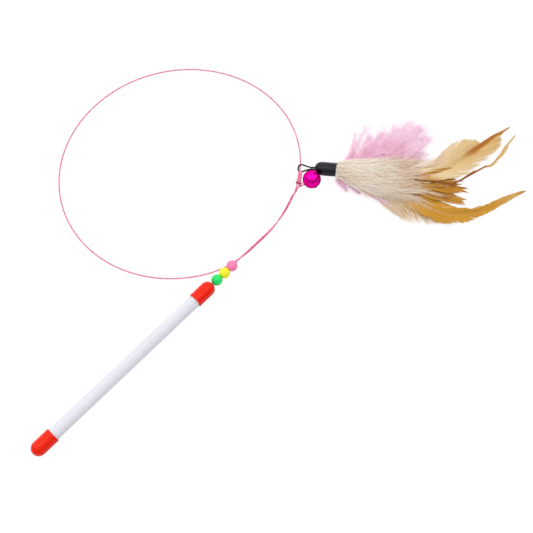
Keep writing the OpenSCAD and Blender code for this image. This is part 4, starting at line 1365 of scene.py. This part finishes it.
class WAND_OT_hackles(bpy.types.Operator):
    """The long hackles: pale peach, striped, thin curved, short brown and the large lower sickle"""
    bl_idname = "wand.hackles"
    bl_label = "Hackles"

    def execute(self, context):
        size = looks("wand_lure")
        cream, ginger, brown, peach = (tuple(c) for c in (size.cream, size.ginger, size.brown, size.peach))
        gold = between(peach, ginger, 0.45)
        tones = [(0.0, grey(1.0)), (1.0, (0.86, 0.82, 0.74, 1))]
        # Barbs a little darker next to the shaft: painted shade where they meet it.
        shaft_shade = [(0.0, grey(0.94)), (0.2, grey(1.0)), (1.0, grey(1.0))]

        self.put(feather_skin(
            "Peach hackle", [(0.0, cream), (0.3, between(cream, size.pink, 0.5)), (0.5, between(peach, size.pink, 0.25)),
                             (0.8, between(peach, gold, 0.6)), (1.0, gold)], shaft_shade, tones, [(0.0, cream), (1.0, gold)]),
            "peach_hackle", "peach_hackle", feather_piece(
                "peach_feather", 1, PEACH, [4, 8, 10.5, 12.5, 12, 8, 1.2], [3, 6, 8, 8, 8, 6, 1], 470, lean=(46, 28), split=0.14))

        self.put(feather_skin(
            "Striped hackle", [(0.0, cream), (0.35, peach), (0.6, gold), (0.9, between(gold, ginger, 0.5)),
                               (1.0, between(ginger, brown, 0.4))],
            shaft_shade, tones, [(0.0, cream), (0.5, gold), (0.72, brown), (1.0, brown)],
            stripe=(between(brown, ginger, 0.25), [(0.58, grey(0.0)), (0.68, grey(1.0)), (0.9, grey(1.0)), (1.0, grey(0.5))],
                    [(0.24, grey(1.0)), (0.42, grey(0.0))])),
            "striped_hackle", "ginger_hackle", feather_piece(
                "striped_feather", 2, STRIPED, [3, 6, 8, 8, 7, 4.5, 2.5, 1.5, 0.4],
                [3, 4, 6.5, 10, 14, 14, 9, 3, 0.4], 620, lean=(42, 22), split=0.1, shaft_r=0.45))

        self.put(feather_skin(
            "Thin hackle", [(0.0, brown), (0.5, brown), (0.68, ginger), (0.78, gold), (1.0, gold)], shaft_shade,
            tones, [(0.0, between(brown, grey(0.0), 0.35)), (0.45, between(brown, grey(0.0), 0.3)), (0.65, brown),
                    (0.85, ginger), (1.0, gold)]),
            "thin_hackle", "ginger_hackle", feather_piece(
                "thin_feather", 3, THIN, [0.3, 0.3, 0.5, 0.8, 1.5, 2.6, 2.2, 1.5, 0.8, 0.8, 1, 1, 0.3],
                [0.3, 0.3, 0.5, 0.8, 0.8, 0.6, 0.5, 0.5, 0.9, 2.6, 3.4, 2.8, 0.3], 260, lean=(22, 16), split=0.5,
                shaft_r=0.6))

        short_looks = feather_skin(
            "Short hackle", [(0.0, between(cream, ginger, 0.3)), (0.3, ginger), (0.6, between(ginger, brown, 0.4)),
                             (1.0, ginger)], shaft_shade, [(0.0, grey(1.0)), (1.0, (0.86, 0.78, 0.64, 1))],
            [(0.0, cream), (0.5, brown), (1.0, brown)])
        for k, (shaft, wide) in enumerate(SHORT):
            self.put(short_looks, "short_hackles" if k == 0 else None, "ginger_hackle", feather_piece(
                "short_feather_%d" % (k + 1), 10 + k, shaft, wide, wide, 300, lean=(26, 10), curl=10, split=0.35,
                shaft_r=0.3, barb_w=0.18))

        self.put(feather_skin(
            "Sickle hackle", [(0.0, between(cream, ginger, 0.3)), (0.1, between(cream, ginger, 0.7)), (0.22, ginger),
                              (0.75, ginger),
                              (0.9, between(ginger, gold, 0.6)), (1.0, between(ginger, brown, 0.3))],
            # The sickle's barbs are also a little darker next to the shaft: painted shade.
            [(0.0, grey(0.96)), (0.3, grey(1.0)), (1.0, (1.0, 1.0, 1.0, 1.0))], tones,
            [(0.0, cream), (0.4, between(cream, ginger, 0.7)), (0.75, ginger), (1.0, brown)]),
            "sickle_hackle", "ginger_hackle", feather_piece(
                "sickle_feather", 24, SICKLE, [3, 7, 11, 13, 13.5, 9.5, 7.5, 6, 4.4, 2.6, 0.4],
                [6, 11, 12, 10, 7.5, 5.5, 3.6, 2.8, 2.4, 1.6, 0.3], 640, lean=(46, 22), split=0.1, shaft_r=0.34))
        self.fringe(cream, gold)
        return {"FINISHED"}

    def put(self, finishes, node_name, slot, pieces):
        for k, (piece, finish) in enumerate(zip(pieces, finishes)):
            finish_piece(piece, finish, "lure", slot, *([node_name] if k == 0 and node_name else []))

    def fringe(self, cream, gold):
        """Loose soft barbs under the sickle's root. Each runs from a line by the shaft to a line of tips, with a
        forward sag that grows with its share squared and a small wave."""
        rng = np.random.default_rng(SEED + 80)
        count, steps = 760, 9
        place = rng.random(count)
        t = np.linspace(0, 1, steps)[None, :, None]
        root = bend(FRINGE_ROOTS, place) + rng.normal(0, 0.7, (count, 3)) * [1, 1, 0.5]
        tip = bend(FRINGE_TIPS, np.clip(place + rng.normal(0, 0.05, count), 0, 1))
        long = (1 - 0.5 * rng.random(count) ** 2)[:, None]
        tip = root + long * (tip - root) + rng.normal(0, 0.8, (count, 3)) * [1, 1, 0.2]
        sag = np.array([-2.4, 0.6, 0.3]) * rng.normal(1, 0.4, (count, 1))
        wave = rng.normal(0, 0.35, (count, 3)) * [1, 1, 0.3]
        paths = (1 - t) * root[:, None] + t * tip[:, None] + 4 * t * (1 - t) * sag[:, None] + np.sin(
            7 * t + 6 * place[:, None, None]) * t * wave[:, None]
        paths[..., 2] = hold_above_floor(paths[..., 2])
        upward = unit(np.array([0, 0, 1.0]) + rng.normal(0, 0.15, (count, 3)))
        down = feather_material(
            "Fringe", [(0.0, between(cream, gold, 0.3)), (0.5, between(cream, gold, 0.6)), (1.0, gold)],
            [(0.0, grey(1.0)), (0.6, (0.96, 0.92, 0.84, 1)), (1.0, (0.98, 0.94, 0.86, 1))],
            [(0.0, grey(1.0)), (0.7, (0.97, 0.93, 0.87, 1)), (1.0, (0.88, 0.80, 0.72, 1))], sheen=0.2)
        piece = strand_piece("sickle_fringe", paths, rng.uniform(0.12, 0.3, count), upward, place, rng.random(count))
        finish_piece(piece, down, "lure", "ginger_hackle")


# Shafts in millimetres: ahead of the sleeve's mouth, to its left, above the handle's axis
PEACH = [(10, 1, 1.6), (30, 1.5, 1.8), (48, 1, 1.4), (63, 4, 0.8), (76, 13, 0.2), (88, 23, -0.4), (101, 31.5, -1.0)]
STRIPED = [(10, -1, 0.6), (30, -3, 1.2), (50, -3, 1.6), (66, 1, 1.4), (79, 8, 1.0), (91, 19, 0.4), (101, 29, -0.2),
           (111, 39, -0.9), (123, 49, -1.6)]
THIN = [(40, -4, 1.9), (55, -5, 3.0), (67, -5, 3.1), (75, -5, 2.6), (82, -5, 1.9), (88, -2, 1.1), (94, 3, 0.3),
        (100, 8, -0.6), (106, 13, -1.3), (111, 16, -1.8), (117, 25, -2.4), (121, 33, -2.8), (128, 44, -3.2)]
SHORT = [
    ([(44, -3, 1.4), (57, -2, 1.8), (66, 0, 1.6), (73, 2, 1.0), (80, 4, 0.4)], [2, 6, 6, 4, 0.3]),
    ([(44, -5, 0.8), (58, -5, 1.2), (71, -4, 0.8), (83, -3, 0.0)], [2, 6, 4.6, 0.3]),
    ([(44, -6, 0.3), (59, -7, 0.7), (74, -8, 0.3), (90, -8, -0.5)], [2, 6, 4.4, 0.3]),
    ([(42, -6, -0.3), (56, -8.5, 0.1), (68, -10.5, -0.3), (81, -11, -1.0)], [2, 6, 4.6, 0.3]),
    ([(44, -8, -0.9), (58, -11, -0.7), (73, -14, -1.1), (89, -16, -1.7)], [2, 6, 4.8, 0.3])]
SICKLE = [(34, -5, -2.0), (46, -10, -2.4), (56, -16, -2.7), (66, -22, -2.9), (76, -26.5, -3.1), (87, -28, -3.3),
          (98, -26, -3.5), (107, -22, -3.6), (116, -16, -3.7), (126, -9, -3.8), (135, -3, -3.8)]
FRINGE_ROOTS = [(24, -6, -1.8), (36, -9, -1.8), (50, -15, -1.8), (66, -22, -2.4)]
FRINGE_TIPS = [(38, -27, -3.8), (46, -32, -3.9), (56, -36.5, -4.0), (84, -35.5, -4.2)]


class WAND_PT_builder(bpy.types.Panel):
    """Lists the wand's pieces"""
    bl_idname = "WAND_PT_builder"
    bl_label = "Teaser wand"
    bl_space_type = "VIEW_3D"
    bl_region_type = "UI"
    bl_category = "Teaser wand"

    def draw(self, context):
        for operator in OPERATORS:
            self.layout.operator(operator.bl_idname)
        for name in LOOKS:
            box = self.layout.box()
            group = getattr(context.scene, name)
            for key in group.__annotations__:
                box.prop(group, key)


OPERATORS = (
    WAND_OT_stage, WAND_OT_handle, WAND_OT_anchor, WAND_OT_wire, WAND_OT_beads, WAND_OT_bell, WAND_OT_elastic,
    WAND_OT_sleeve, WAND_OT_fluff, WAND_OT_marabou, WAND_OT_hackles)
CLASSES = (*LOOKS.values(), *OPERATORS, WAND_PT_builder)


def register():
    for kind in CLASSES:
        bpy.utils.register_class(kind)
    for name, kind in LOOKS.items():
        setattr(bpy.types.Scene, name, bpy.props.PointerProperty(type=kind))


def unregister():
    for name in LOOKS:
        delattr(bpy.types.Scene, name)
    for kind in reversed(CLASSES):
        bpy.utils.unregister_class(kind)


def main():
    register()
    for operator in OPERATORS:
        group, name = operator.bl_idname.split(".")
        getattr(getattr(bpy.ops, group), name)()
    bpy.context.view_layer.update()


if __name__ == "__main__":
    main()
